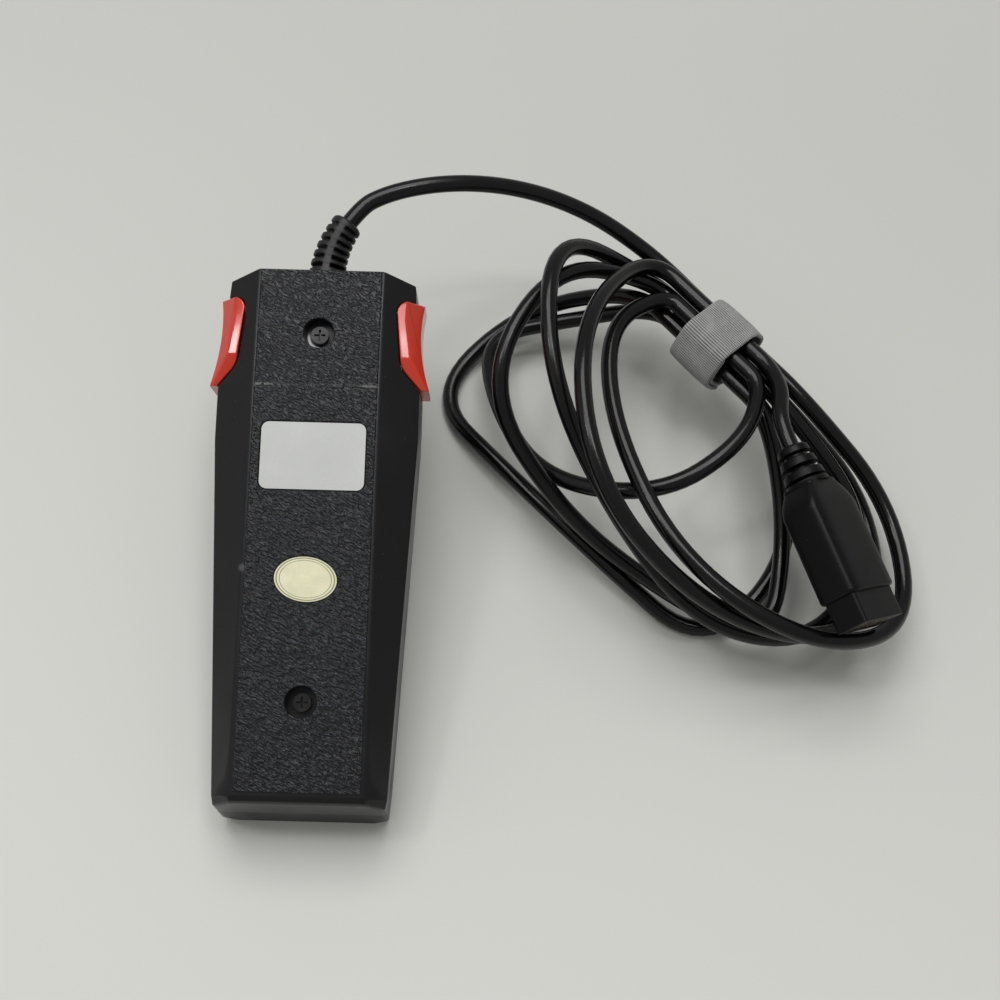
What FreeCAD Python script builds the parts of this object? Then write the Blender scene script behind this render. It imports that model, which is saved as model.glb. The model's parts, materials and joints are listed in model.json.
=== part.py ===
import FreeCAD, Part
import Sketcher
import math
import os
import re
import sys

from FreeCAD import Placement, Rotation, Vector

# A slim handheld joystick controller with a tied cord and a small nine-way plug.
# Own frame of the case: x across, y from the bottom end to the cord end, z out of the back,
# so the stick points to -z. Every case piece then gets the placement of the case lying
# face down, propped on the stick's knob and on the front edge of its bottom end.
# Millimetres.

SIZES = {
    # case outline and walls
    "case_length": 138.0,
    "bottom_half": 22.2,
    "wide_half": 26.6,
    "shoulder_half": 24.4,
    "band_half": 16.3,
    "wide_inset": 45.0,
    "crease_inset": 31.6,
    "shoulder_inset": 2.1,
    "end_drop": 1.4,
    "bevel_depth": 6.0,
    "parting_depth": 12.0,
    "case_depth": 26.0,
    "case_wall": 2.2,
    "bottom_round": 1.5,
    "end_lean": 13.7,
    "foot_depth": 24.2,
    "band_soft": 0.6,
    "front_bevel": 3.0,
    # case screws, their wells and bosses
    "upper_screw_inset": 17.4,
    "lower_screw_line": 24.9,
    "well_radius": 4.0,
    "well_depth": 5.0,
    "well_floor": 2.0,
    "tube_radius": 5.5,
    "screw_hole_radius": 1.65,
    "boss_radius": 4.0,
    "pilot_gap": 0.05,
    "screw_head_radius": 2.3,
    "screw_head_height": 2.0,
    "screw_shank_radius": 1.45,
    "screw_shank_length": 14.0,
    "screw_slot_width": 0.55,
    "screw_slot_depth": 1.1,
    "screw_slot_span": 2.9,
    # label plate, sticker and the plate on the front
    "label_width": 27.0,
    "label_height": 17.6,
    "label_thickness": 0.5,
    "label_corner": 2.0,
    "label_inset": 50.3,
    "recess_depth": 0.6,
    "recess_gap": 0.2,
    "sticker_half_width": 8.0,
    "sticker_half_height": 5.75,
    "sticker_thickness": 0.15,
    "sticker_side": -0.3,
    "sticker_line": 55.8,
    "sticker_turn": -5.0,
    "sticker_seat_gap": 0.08,
    "badge_width": 24.0,
    "badge_height": 14.0,
    "badge_thickness": 0.6,
    "badge_line": 48.0,
    # fire buttons
    "button_low_inset": 31.0,
    "button_high_inset": 7.2,
    "button_top_inset": 6.8,
    "button_knee_inset": 5.0,
    "button_knee_low_inset": 25.6,
    "button_knee_round": 6.0,
    "button_low_reach": 0.3,
    "button_reach": 2.3,
    "button_rest_radius": 45.0,
    "button_rest_reach": 44.8,
    "button_rest_inset": 15.5,
    "facet_depth": 2.3,
    "facet_tilt": 8.0,
    "facet_low_inset": 23.2,
    "facet_high_inset": 13.0,
    "facet_low_slope": 20.0,
    "facet_high_slope": 8.5,
    "ridge_low_inset": 2.5,
    "ridge_high_inset": 4.0,
    "ridge_slope": 46.0,
    "button_corner": 3.2,
    "button_cap_depth": 7.0,
    "button_depth": 17.5,
    "button_face_wall": 2.4,
    "button_gap": 0.35,
    "button_travel_gap": 1.4,
    "hinge_inset": 7.1,
    "hinge_depth": 7.0,
    "hinge_radius": 1.4,
    "hinge_pin_radius": 0.8,
    "hinge_play": 0.05,
    "hinge_end_gap": 0.3,
    "hinge_ear_width": 2.4,
    "hinge_ear_half": 1.9,
    "button_web": 1.8,
    "button_web_overlap": 0.8,
    "pusher_radius": 2.0,
    "pusher_inset": 19.5,
    "pusher_depth": 13.0,
    "pusher_gap": 1.1,
    # contact boards of the fire buttons
    "rib_inset": 11.4,
    "rib_thickness": 1.6,
    "rib_half_length": 7.0,
    "rib_top_depth": 9.0,
    "board_thickness": 1.2,
    "side_board_height": 9.0,
    "side_dome_radius": 3.0,
    "side_dome_height": 0.8,
    # stick, measured from its pivot towards the knob
    "stick_inset": 38.0,
    "pivot_depth": 16.2,
    "stick_opening_radius": 6.6,
    "shaft_radius": 4.0,
    "shaft_front": 29.8,
    "shaft_shoulder": 5.0,
    "spigot_radius": 2.5,
    "spigot_length": 2.4,
    "fit_gap": 0.05,
    "knob_radius": 9.0,
    "knob_neck_radius": 6.0,
    "knob_start": 18.0,
    "knob_flare": 8.0,
    "knob_end": 34.8,
    "knob_round": 2.5,
    "disc_radius": 8.0,
    "disc_thickness": 1.2,
    "clip_radius": 4.0,
    "clip_thickness": 0.8,
    "cap_outer_radius": 7.2,
    "cap_thickness": 1.0,
    "cap_edge_height": 3.5,
    "cross_pin_radius": 1.3,
    "cross_pin_half": 9.2,
    "bezel_radius": 15.0,
    "bezel_bore": 8.0,
    "bezel_height": 2.5,
    "bezel_round": 1.0,
    # ring, cradle and its cap
    "ring_outer": 9.5,
    "ring_inner": 6.2,
    "ring_half_height": 2.0,
    "ring_hole_gap": 0.08,
    "trunnion_radius": 1.5,
    "trunnion_reach": 12.3,
    "trunnion_play": 0.08,
    "cradle_inner": 10.6,
    "cradle_outer": 14.5,
    "cradle_rim_gap": 0.3,
    "cradle_cap_height": 1.6,
    "cradle_cap_bore": 10.8,
    "cradle_screw_radius": 0.9,
    "cradle_screw_length": 6.0,
    "small_head_radius": 1.6,
    "small_head_height": 1.2,
    # main board, its posts and the rubber domes
    "board_front_depth": 7.0,
    "board_half_width": 15.0,
    "board_low_inset": 59.0,
    "board_high_inset": 7.0,
    "board_hole_gap": 0.5,
    "post_radius": 2.0,
    "post_side": 11.0,
    "post_inset": 4.0,
    "board_screw_radius": 0.8,
    "board_screw_length": 3.6,
    "mat_half": 10.0,
    "mat_thickness": 0.6,
    "dome_radius": 2.2,
    "dome_height": 0.5,
    "dome_offset": 6.0,
    "board_thick": 1.6,
    # cord, its relief and the header
    "cord_radius": 2.35,
    "relief_neck_radius": 3.65,
    "relief_hole_gap": 0.1,
    "relief_flange_radius": 5.5,
    "relief_flange_thickness": 1.5,
    "relief_core_radius": 3.1,
    "relief_root_radius": 5.1,
    "relief_tip_radius": 4.25,
    "relief_bend_radius": 30.0,
    "relief_turn": 34.0,
    "relief_spine": 2.2,
    "relief_spine_inset": 0.3,
    "relief_side": 2.6,
    "relief_side_inset": 0.65,
    "relief_rib_share": 0.5,
    "relief_rib_lead": 0.28,
    "header_half": 6.0,
    "header_length": 4.0,
    "header_height": 8.0,
    "header_inset": 0.7,
    # hank and its strap
    "tie_side": 109.41,
    "tie_line": 63.48,
    "tie_height": 27.95,
    "tie_heading": -48.0,
    "strand_pitch": 5.6,
    "strand_straight": 9.0,
    "lead_first_run": 6.0,
    "lead_last_run": 8.0,
    "tail_end_run": 5.0,
    "strap_width": 15.3,
    "strap_thickness": 1.4,
    "strap_gap": 0.3,
    "strap_overlap": 110.0,
    "strap_overlap_start": 20.0,
    # plug
    "plug_width": 21.0,
    "plug_thickness": 12.0,
    "hood_length": 32.0,
    "hood_neck": 13.0,
    "hood_collar": 1.5,
    "hood_shoulder": 6.5,
    "hood_round": 2.0,
    "nose_width": 18.6,
    "nose_thickness": 9.6,
    "nose_length": 8.0,
    "nose_round": 1.0,
    "plug_relief_length": 11.0,
    "plug_relief_root": 6.0,
    "plug_relief_tip": 4.2,
    "plug_rib_share": 0.6,
    "plug_relief_core": 3.0,
    "contact_pitch": 2.77,
    "contact_row_gap": 2.84,
    "contact_radius": 0.8,
    "contact_bore": 0.5,
    "contact_gap": 0.05,
    "contact_length": 6.5,
    "contact_wall_end": 1.0,
}

# Lines along the case are measured from its cord end, and sides from its widest half.
PLACES = {
    "wide_start": "case_length-wide_inset",
    "crease_line": "case_length-crease_inset",
    "upper_screw_line": "case_length-upper_screw_inset",
    "label_line": "case_length-label_inset",
    "button_start": "case_length-button_low_inset",
    "button_end": "case_length-button_high_inset",
    "knee_line": "case_length-button_knee_low_inset",
    "button_rest_line": "case_length-button_rest_inset",
    "pusher_line": "case_length-pusher_inset",
    "stick_line": "case_length-stick_inset",
    "board_start": "case_length-board_low_inset",
    "board_end": "case_length-board_high_inset",
    "button_top_side": "wide_half-button_top_inset",
    "knee_side": "wide_half-button_knee_inset",
    "button_low_side": "wide_half+button_low_reach",
    "button_far_side": "wide_half+button_reach",
    "button_rest_side": "wide_half+button_rest_reach",
    "hinge_side": "wide_half-hinge_inset",
    "button_plate_start": "hinge_side+hinge_ear_half+2*button_gap",
    "rib_side": "wide_half-rib_inset",
}

RELIEF_RIBS = 8
PLUG_RIBS = 3

# One row per loop: half length, half width, turn at the strap, lean, egg, bow,
# then the heights at a quarter, half and three quarters of the loop.
LOOPS = [
    (56.5, 28.5, 51.5, 124.6, -3.7, 1.6, 12.7, 33.6, 37.0),
    (38.9, 27.4, 116.9, 150.9, -2.2, 4.0, 34.2, 17.5, 10.9),
    (55.7, 30.2, 89.0, 134.0, 0.3, -4.2, 3.1, 7.3, 3.5),
    (50.1, 29.3, 71.3, 129.1, 5.9, -1.4, 12.8, 10.8, 47.7),
    (56.1, 32.3, 67.7, 131.1, -4.3, -3.3, 9.8, 20.8, 53.6),
    (48.7, 36.8, 46.3, 132.7, 1.9, -0.1, 4.1, 23.9, 55.0),
]
# Place of each passage in the strap: 0 is the middle, 1 to 6 go round it.
PASSAGES = [1, 3, 5, 4, 0, 6, 2]

# Free route from the relief to the strap, on the floor's frame.
LEAD_ROUTE = [
    (14.0, 90.48, 55.8),
    (21.0, 93.18, 55.9),
    (29.5, 95.68, 55.1),
    (39.5, 97.98, 52.9),
    (50.7, 99.78, 48.9),
    (62.8, 99.88, 43.9),
    (75.3, 97.58, 38.2),
    (87.5, 92.18, 32.4),
    (96.0, 86.18, 29.2),
]
# Free route from the strap to the plug's relief.
TAIL_ROUTE = [
    (123.4, 50.18, 33.8),
    (124.6, 43.58, 35.7),
    (123.4, 36.68, 37.3),
]

PLUG_START = (130.0, 15.78, 35.9)
PLUG_AXIS = (0.370, -0.920, -0.128)
PLUG_ROLL = 38.0

doc = FreeCAD.newDocument("Controller")
sheet = doc.addObject("Spreadsheet::Sheet", "Sizes")
for row, (alias, value) in enumerate({**SIZES, **PLACES}.items(), 1):
    sheet.set(f"A{row}", f"={value}")
    sheet.setAlias(f"A{row}", alias)
doc.recompute()

pieces = {}


def size(alias):
    """Value of one cell of the sheet."""
    return float(sheet.get(alias))


def bound(text):
    """Expression with every size name pointed at the sheet."""
    def pointed(match):
        name = match.group()
        return "Sizes." + name if name in SIZES or name in PLACES else name

    return re.sub(r"[a-z][a-z_]+", pointed, text)


def link(obj, props):
    """Bind properties of an object to expressions."""
    for prop, text in props.items():
        obj.setExpression(prop, bound(text))
    return obj


def block(name, x, y, z):
    """Box between two expressions on each axis."""
    obj = doc.addObject("Part::Box", name)
    props = {}
    for axis, side, (low, high) in zip("xyz", ("Length", "Width", "Height"), (x, y, z)):
        props["Placement.Base." + axis] = low
        props[side] = f"({high})-({low})"
    return link(obj, props)


def rod(name, at, along, radius, length):
    """Cylinder from a point along a direction."""
    obj = doc.addObject("Part::Cylinder", name)
    obj.Placement = Placement(Vector(), Rotation(Vector(0, 0, 1), Vector(*along)))
    props = {"Radius": radius, "Height": length}
    for axis, text in zip("xyz", at):
        props["Placement.Base." + axis] = text
    return link(obj, props)


def cut(name, base, *tools):
    """Base with every tool taken off in turn."""
    for number, tool in enumerate(tools, 1):
        obj = doc.addObject("Part::Cut", f"{name}_{number}")
        obj.Base = base
        obj.Tool = tool
        base = obj
    return base


def fuse(name, *shapes):
    """One solid of several."""
    obj = doc.addObject("Part::MultiFuse", name)
    obj.Shapes = list(shapes)
    return obj


def common(name, *shapes):
    """What several solids share."""
    obj = doc.addObject("Part::MultiCommon", name)
    obj.Shapes = list(shapes)
    return obj


def group(name, *shapes):
    """Several solids kept apart in one piece."""
    obj = doc.addObject("Part::Compound", name)
    obj.Links = list(shapes)
    return obj


def turned(name, profile, x, y):
    """Solid of revolution about a line along z, from radius and height pairs."""
    body = doc.addObject("PartDesign::Body", name)
    sketch = outline(body, name + "_profile", profile, "XZ_Plane")
    doc.recompute()
    solid = body.newObject("PartDesign::Revolution", name + "_turn")
    solid.Profile = sketch
    solid.ReferenceAxis = (sketch, ["V_Axis"])
    solid.Angle = 360
    body.Tip = solid
    return link(body, {"Placement.Base.x": x, "Placement.Base.y": y})


def plane(body, role):
    """Origin plane of a body."""
    return next(f for f in body.Origin.OriginFeatures if f.Role == role)


def outline(body, name, points, role="XY_Plane", offset=None, leans=False):
    """Closed sketch of straight lines, every corner bound to two sizes."""
    sketch = body.newObject("Sketcher::SketchObject", name)
    sketch.AttachmentSupport = [(plane(body, role), "")]
    sketch.MapMode = "FlatFace"
    if leans:
        sketch.AttachmentOffset = Placement(Vector(), Rotation(Vector(1, 0, 0), -size("end_lean")))
        points = [(x, f"({z})/cos(end_lean*1 deg)") for x, z in points]
    if offset:
        sketch.setExpression("AttachmentOffset.Base.z", bound(offset))
    count = len(points)
    guess = [Vector(10 * math.cos(2 * math.pi * i / count), 10 * math.sin(2 * math.pi * i / count), 0)
             for i in range(count)]
    for i in range(count):
        sketch.addGeometry(Part.LineSegment(guess[i], guess[(i + 1) % count]), False)
    for i in range(count):
        sketch.addConstraint(Sketcher.Constraint("Coincident", i, 2, (i + 1) % count, 1))
    for i, corner in enumerate(points):
        for kind, text in zip(("DistanceX", "DistanceY"), corner):
            number = sketch.addConstraint(Sketcher.Constraint(kind, -1, 1, i, 1, 1.0))
            sketch.setExpression(f"Constraints[{number}]", bound(text))
    return sketch


def lofted(name, leaning, upright):
    """Body lofted through outlines at given y lines, the first ones leaning as the bottom end does."""
    body = doc.addObject("PartDesign::Body", name)
    sketches = [
        outline(body, f"{name}_section_{i}", points, "XZ_Plane", f"-({line})", i < len(leaning))
        for i, (line, points) in enumerate([*leaning, *upright])
    ]
    doc.recompute()
    loft = body.newObject("PartDesign::AdditiveLoft", name + "_loft")
    loft.Profile = sketches[0]
    loft.Sections = sketches[1:]
    loft.Ruled = True
    body.Tip = loft
    doc.recompute()
    return body


def rounded(body, name, radius, chosen):
    """Fillet of the edges whose middle point passes a test."""
    base = body.Tip
    names = []
    for number, edge in enumerate(base.Shape.Edges, 1):
        middle = edge.valueAt((edge.FirstParameter + edge.LastParameter) / 2)
        if chosen(edge, middle):
            names.append(f"Edge{number}")
    fillet = body.newObject("PartDesign::Fillet", name)
    fillet.Base = (base, names)
    link(fillet, {"Radius": radius})
    body.Tip = fillet
    doc.recompute()
    return fillet


def piece(node, obj, place=None):
    """Name a finished piece; without a placement of its own it takes the case's."""
    if obj.TypeId != "Part::Compound":
        obj = group(node + "_piece", obj)
    obj.Label = node
    pieces[node] = (obj, place)
    return obj


def near(value, target, room=0.05):
    """Whether two lengths agree."""
    return abs(value - target) < room


# Placement of the case: it rests on the front edge of its bottom end
# and on the rounded rim of the knob, so the floor meets a point and a circle.
knob_round = size("knob_round")
edge_y = size("bottom_round")
edge_z = -size("case_depth")
rim_y = size("stick_line") - size("knob_radius") + knob_round
rim_z = knob_round - size("pivot_depth") - size("knob_end")
span = math.hypot(rim_y - edge_y, rim_z - edge_z)
tilt = math.atan2(edge_z - rim_z, rim_y - edge_y) + math.asin(knob_round / span)
lift = -edge_y * math.sin(tilt) - edge_z * math.cos(tilt)
case_turn = Rotation(Vector(1, 0, 0), math.degrees(tilt))


# Rear shell: outlines along the length, a flat band between two bevels.
def rear_points(half, drop="0", inset=False):
    """Half outline of the rear shell at one line, mirrored."""
    side = f"({half})-case_wall" if inset else half
    band = "band_half-case_wall/3" if inset else "band_half"
    top = f"-case_wall-({drop})" if inset else f"-({drop})"
    bevel = f"-bevel_depth-case_wall/2-({drop})/2" if inset else f"-bevel_depth-({drop})/2"
    low = "-parting_depth"
    soft = "band_soft*bevel_depth/(2*(wide_half-band_half))"
    edge = [(f"{band}+band_soft", f"{top}-{soft}"), (f"{band}-band_soft", top)]
    return [
        (f"-({side})", low), (side, low), (side, bevel), *edge,
        *[(f"-({x})", z) for x, z in reversed(edge)], (f"-({side})", bevel),
    ]


early = "bottom_round*(1-cos(45 deg))"


def rounded_start(points):
    """Leaning outlines that round the bottom end in two steps."""
    return [("0", points("bottom_half-bottom_round", "bottom_round")),
            (early, points(f"bottom_half-{early}", early))]


rear_outer = lofted("rear_outer", rounded_start(rear_points), [
    ("bottom_round", rear_points("bottom_half")),
    ("wide_start", rear_points("wide_half")),
    ("crease_line", rear_points("wide_half")),
    ("case_length", rear_points("shoulder_half", "end_drop")),
])
rear_cavity = lofted("rear_cavity", [("case_wall", rear_points("bottom_half", inset=True))], [
    ("2*case_wall", rear_points("bottom_half", inset=True)),
    ("wide_start", rear_points("wide_half", inset=True)),
    ("crease_line", rear_points("wide_half", inset=True)),
    ("case_length-case_wall", rear_points("shoulder_half", "end_drop", True)),
])


# Front shell: the same outline lines, with bevelled front edges; its foot is less deep,
# so the case still rests on the edge behind it.
def front_points(half, drop="0", inset=False, depth="case_depth"):
    """Outline of the front shell at one line."""
    side = f"({half})-case_wall" if inset else half
    front = f"-{depth}+case_wall" if inset else f"-{depth}+({drop})"
    bevel = "front_bevel-case_wall/2" if inset else "front_bevel"
    right = [(f"{side}-({bevel})", front), (side, f"{front}+{bevel}"), (side, "-parting_depth")]
    return [*right, *[(f"-({x})", z) for x, z in reversed(right)]]


def foot_points(half, drop="0", inset=False):
    """Outline of the front shell where it leans."""
    return front_points(half, drop, inset, "foot_depth")


front_outer = lofted("front_outer", rounded_start(foot_points), [
    ("bottom_round", front_points("bottom_half")),
    ("wide_start", front_points("wide_half")),
    ("crease_line", front_points("wide_half")),
    ("case_length", front_points("shoulder_half")),
])
front_cavity = lofted("front_cavity", [("case_wall", foot_points("bottom_half", inset=True))], [
    ("2*case_wall", front_points("bottom_half", inset=True)),
    ("wide_start", front_points("wide_half", inset=True)),
    ("crease_line", front_points("wide_half", inset=True)),
    ("case_length-case_wall", front_points("shoulder_half", inset=True)),
])


def half_at(line):
    """Half width of the case beside a button at one line."""
    share = (line - size("crease_line")) / (size("case_length") - size("crease_line"))
    return size("wide_half") + share * (size("shoulder_half") - size("wide_half"))


def mirrored(name, source):
    """The same solid on the other side of the middle plane."""
    obj = doc.addObject("Part::Mirroring", name)
    obj.Source = source
    obj.Normal = Vector(1, 0, 0)
    return obj


def corner_wedge(name, inset):
    """What a slanted corner takes off the cord end, beyond a line through two named points."""
    body = doc.addObject("PartDesign::Body", name)
    far_side = "band_half+3*(shoulder_half-band_half)"
    points = [("band_half", f"case_length-({inset})"),
              (far_side, f"case_length-({inset})-3*shoulder_inset"),
              (far_side, "case_length+1"), ("band_half", "case_length+1")]
    sketch = outline(body, name + "_outline", points, "XY_Plane", "-2*case_depth")
    doc.recompute()
    pad = body.newObject("PartDesign::Pad", name + "_pad")
    pad.Profile = sketch
    pad.setExpression("Length", bound("3*case_depth"))
    body.Tip = pad
    doc.recompute()
    return body


outer_wedge = corner_wedge("outer_wedge", "0")
inner_wedge = corner_wedge("inner_wedge", "case_wall")
outer_wedges = [outer_wedge, mirrored("left_outer_wedge", outer_wedge)]
inner_wedges = [inner_wedge, mirrored("left_inner_wedge", inner_wedge)]
rear_block = cut("rear_block", rear_outer, *outer_wedges)
rear_room = cut("rear_room", rear_cavity, *inner_wedges)
front_block = cut("front_block", front_outer, *outer_wedges)
front_room = cut("front_room", front_cavity, *inner_wedges)


def plate(name, half_width, half_height, line, low, thickness, corner):
    """Flat plate with rounded corners, centred on the middle plane."""
    body = doc.addObject("PartDesign::Body", name)
    sides = [(f"-({half_width})", f"{line}-({half_height})"), (half_width, f"{line}-({half_height})"),
             (half_width, f"{line}+{half_height}"), (f"-({half_width})", f"{line}+{half_height}")]
    sketch = outline(body, name + "_outline", sides, "XY_Plane", low)
    doc.recompute()
    pad = body.newObject("PartDesign::Pad", name + "_pad")
    pad.Profile = sketch
    pad.setExpression("Length", bound(thickness))
    body.Tip = pad
    doc.recompute()
    rounded(body, name + "_corners", corner, lambda e, p: abs(e.tangentAt(e.FirstParameter).z) > 0.9)
    return body


def oval(name, grow, low, thickness):
    """Flat oval on the back at the sticker's place, grown by a gap."""
    rim = doc.addObject("Part::Ellipse", name + "_rim")
    rim.Placement = Placement(Vector(), Rotation(Vector(0, 0, 1), size("sticker_turn")))
    link(rim, {"MajorRadius": f"sticker_half_width+{grow}", "MinorRadius": f"sticker_half_height+{grow}",
               "Placement.Base.x": "sticker_side", "Placement.Base.y": "sticker_line",
               "Placement.Base.z": low})
    sheet_solid = doc.addObject("Part::Extrusion", name)
    sheet_solid.Base = rim
    sheet_solid.DirMode = "Custom"
    sheet_solid.Dir = Vector(0, 0, 1)
    sheet_solid.Solid = True
    return link(sheet_solid, {"LengthFwd": thickness})


# Right fire button: a faceted cap over the bevel, a plate in the side wall, a hinge barrel
# with its pins, a web between them and a pusher; its outer face is a hollow for the finger.
def button_outline(name, grow, low, high):
    """Plan of the cap, grown by a gap, between two heights."""
    body = doc.addObject("PartDesign::Body", name)
    points = [(f"button_top_side-{grow}", f"button_end+{grow}"),
              (f"knee_side-0.94*{grow}", f"knee_line-0.47*{grow}"),
              (f"button_low_side-0.42*{grow}", f"button_start-{grow}"),
              ("button_far_side", f"button_start-{grow}"), ("button_far_side", f"button_end+{grow}")]
    sketch = outline(body, name + "_plan", points, "XY_Plane", low)
    doc.recompute()
    pad = body.newObject("PartDesign::Pad", name + "_pad")
    pad.Profile = sketch
    pad.setExpression("Length", bound(f"({high})-({low})"))
    body.Tip = pad
    doc.recompute()
    room = size(grow) if grow in SIZES else 0.0
    for label, radius, line in (("top", "button_corner", size("button_end") + room),
                                ("knee", "button_knee_round", size("knee_line") - 0.47 * room)):
        rounded(body, f"{name}_{label}", f"{radius}+{grow}",
                lambda e, p, y=line: near(p.y, y) and p.x < size("button_low_side")
                and abs(e.tangentAt(e.FirstParameter).z) > 0.9)
    return body


def above(name, point, slope):
    """Large box that stands on a plane through a point, which falls by given slopes along x and y."""
    turn = Rotation(Vector(0, 0, 1), Vector(slope[0], slope[1], 1))
    far = 3 * size("case_depth")
    box = doc.addObject("Part::Box", name)
    box.Placement = Placement(point + turn.multVec(Vector(-far / 2, -far / 2, 0)), turn)
    return link(box, {"Length": "3*case_depth", "Width": "3*case_depth", "Height": "case_depth"})


cap_prism = button_outline("cap_prism", "0", "-button_cap_depth", "1")
side_plate = block("side_plate", ("button_plate_start", "button_far_side"),
                   ("button_start", "button_end"), ("-button_depth", "-button_cap_depth"))
finger_rest = rod("finger_rest", ("button_rest_side", "button_rest_line", "-case_depth"), (0, 0, 1),
                  "button_rest_radius", "case_depth+2")
facet_fall, low_fall, high_fall, ridge_fall = (
    math.tan(math.radians(size(name)))
    for name in ("facet_tilt", "facet_low_slope", "facet_high_slope", "ridge_slope"))
facet_low = size("case_length") - size("facet_low_inset")
facet_high = size("case_length") - size("facet_high_inset")
ridge_low = size("wide_half") - size("ridge_low_inset")
ridge_high = size("wide_half") - size("ridge_high_inset")


def on_facet(side, line):
    """Point of the level facet, or of its plane carried on."""
    return Vector(side, line, -size("facet_depth") - facet_fall * (side - size("button_top_side")))


ridge_shift = (ridge_high - ridge_low) / (facet_high - facet_low)
facets = [
    above("facet_level", on_facet(size("button_top_side"), facet_low), (facet_fall, 0)),
    above("facet_low", on_facet(size("button_top_side"), facet_low), (facet_fall, -low_fall)),
    above("facet_high", on_facet(size("button_top_side"), facet_high), (facet_fall, high_fall)),
    above("facet_side", on_facet(ridge_low, facet_low),
          (ridge_fall, -ridge_shift * (ridge_fall - facet_fall))),
]
button_face = cut("button_face", fuse("button_block", cap_prism, side_plate), finger_rest, *facets)
doc.recompute()
face_inside = "button_rest_side-button_rest_radius-button_face_wall"
web_top = "-hinge_depth-hinge_radius+button_web_overlap"
pocket = block(
    "button_pocket", ("button_plate_start-1", face_inside),
    ("button_start+button_face_wall", "button_end-button_face_wall"),
    ("-button_depth+button_face_wall", "-hinge_depth-hinge_radius-1"),
)
hinge_barrel = rod("hinge_barrel", ("hinge_side", "button_start", "-hinge_depth"), (0, 1, 0),
                   "hinge_radius", "button_end-button_start")
pin_reach = "button_gap+hinge_ear_width-hinge_end_gap"
hinge_pin = rod("hinge_pin", ("hinge_side", f"button_start-({pin_reach})", "-hinge_depth"), (0, 1, 0),
                "hinge_pin_radius", f"button_end-button_start+2*({pin_reach})")
hinge_web = block("hinge_web", ("hinge_side", face_inside),
                  ("button_start+hinge_ear_width", "button_end-hinge_end_gap"),
                  (f"{web_top}-button_web", web_top))
pusher_tip = "rib_side+rib_thickness+board_thickness+side_dome_height+pusher_gap"
pusher = rod("pusher", (pusher_tip, "pusher_line", "-pusher_depth"), (1, 0, 0),
             "pusher_radius", f"{face_inside}+1-({pusher_tip})")
right_button = fuse("right_button", cut("button_shell", button_face, pocket), hinge_barrel, hinge_pin,
                    hinge_web, pusher)
left_button = mirrored("left_button", right_button)

# Side openings for the buttons, the same outline with a gap all round, and the ears
# that the hinge pins turn in.
opening_cap = button_outline("opening_cap", "button_gap", "-button_cap_depth-button_gap", "1")
opening_side = block("opening_side", ("hinge_side+hinge_ear_half+button_gap", "button_far_side"),
                     ("button_start-button_gap", "button_end+button_gap"),
                     ("-button_depth-button_travel_gap", "-button_cap_depth+button_gap"))
barrel_room = rod("barrel_room", ("hinge_side", "button_start-button_gap", "-hinge_depth"), (0, 1, 0),
                  "hinge_radius+button_gap", "button_end-button_start+2*button_gap")
right_opening = fuse("right_opening", opening_cap, opening_side, barrel_room)
left_opening = mirrored("left_opening", right_opening)
ear_side = ("hinge_side-hinge_ear_half", "hinge_side+hinge_ear_half")
ear_height = ("-hinge_depth-hinge_ear_half", "-1")
ears = common("right_ears", rear_block, fuse(
    "ear_blocks",
    block("lower_ear", ear_side, ("button_start-button_gap-hinge_ear_width", "button_start-button_gap"),
          ear_height),
    block("upper_ear", ear_side, ("button_end+button_gap", "button_end+button_gap+hinge_ear_width"),
          ear_height),
))
left_ears = mirrored("left_ears", ears)
bore_start = "button_start-button_gap-hinge_ear_width-1"
hinge_bore = rod("hinge_bore", ("hinge_side", bore_start, "-hinge_depth"), (0, 1, 0),
                 "hinge_pin_radius+hinge_play", f"button_end+button_gap+hinge_ear_width+1-({bore_start})")
left_hinge_bore = mirrored("left_hinge_bore", hinge_bore)

# Rear shell: screw tubes under the wells, four board posts and the two pairs of ears.
screw_lines = ("upper_screw_line", "lower_screw_line")
up = (0, 0, 1)
down = (0, 0, -1)
tubes = [rod(f"tube_{n}", ("0", line, "-well_depth-well_floor"), up, "tube_radius",
             "well_depth+well_floor-end_drop")
         for n, line in enumerate(screw_lines)]
wells = [rod(f"well_{n}", ("0", line, "-well_depth"), up, "well_radius", "well_depth+1")
         for n, line in enumerate(screw_lines)]
screw_holes = [rod(f"screw_hole_{n}", ("0", line, "-well_depth-well_floor-1"), up, "screw_hole_radius",
                   "well_floor+2")
               for n, line in enumerate(screw_lines)]
board_back = "-board_front_depth+board_thick"
post_spots = [(side, line) for side in ("-post_side", "post_side")
              for line in ("board_start+post_inset", "board_end-post_inset")]
posts = [rod(f"post_{n}", (x, y, board_back), up, "post_radius", "board_front_depth-board_thick-end_drop")
         for n, (x, y) in enumerate(post_spots)]
post_holes = [rod(f"post_hole_{n}", (x, y, f"{board_back}-1"), up, "board_screw_radius+fit_gap",
                  "board_screw_length-board_thick+1+fit_gap")
              for n, (x, y) in enumerate(post_spots)]
recess = plate("label_recess", "label_width/2+recess_gap", "label_height/2+recess_gap", "label_line",
               "-recess_depth", "recess_depth+1", "label_corner+recess_gap")
relief_hole = rod("relief_hole", ("0", "case_length-case_wall-1", "-parting_depth"), (0, 1, 0),
                  "relief_neck_radius+relief_hole_gap", "case_wall+2")
sticker_seat = oval("sticker_seat", "sticker_seat_gap", "-sticker_thickness", "sticker_thickness+1")
rear_solid = fuse("rear_solid", cut("rear_hollow", rear_block, rear_room), *tubes, *posts, ears,
                  left_ears)
rear_shell = cut("rear_finished", rear_solid, *wells, *screw_holes, *post_holes, recess, sticker_seat,
                 relief_hole, right_opening, left_opening, hinge_bore, left_hinge_bore)
piece("rear_shell", rear_shell)

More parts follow.
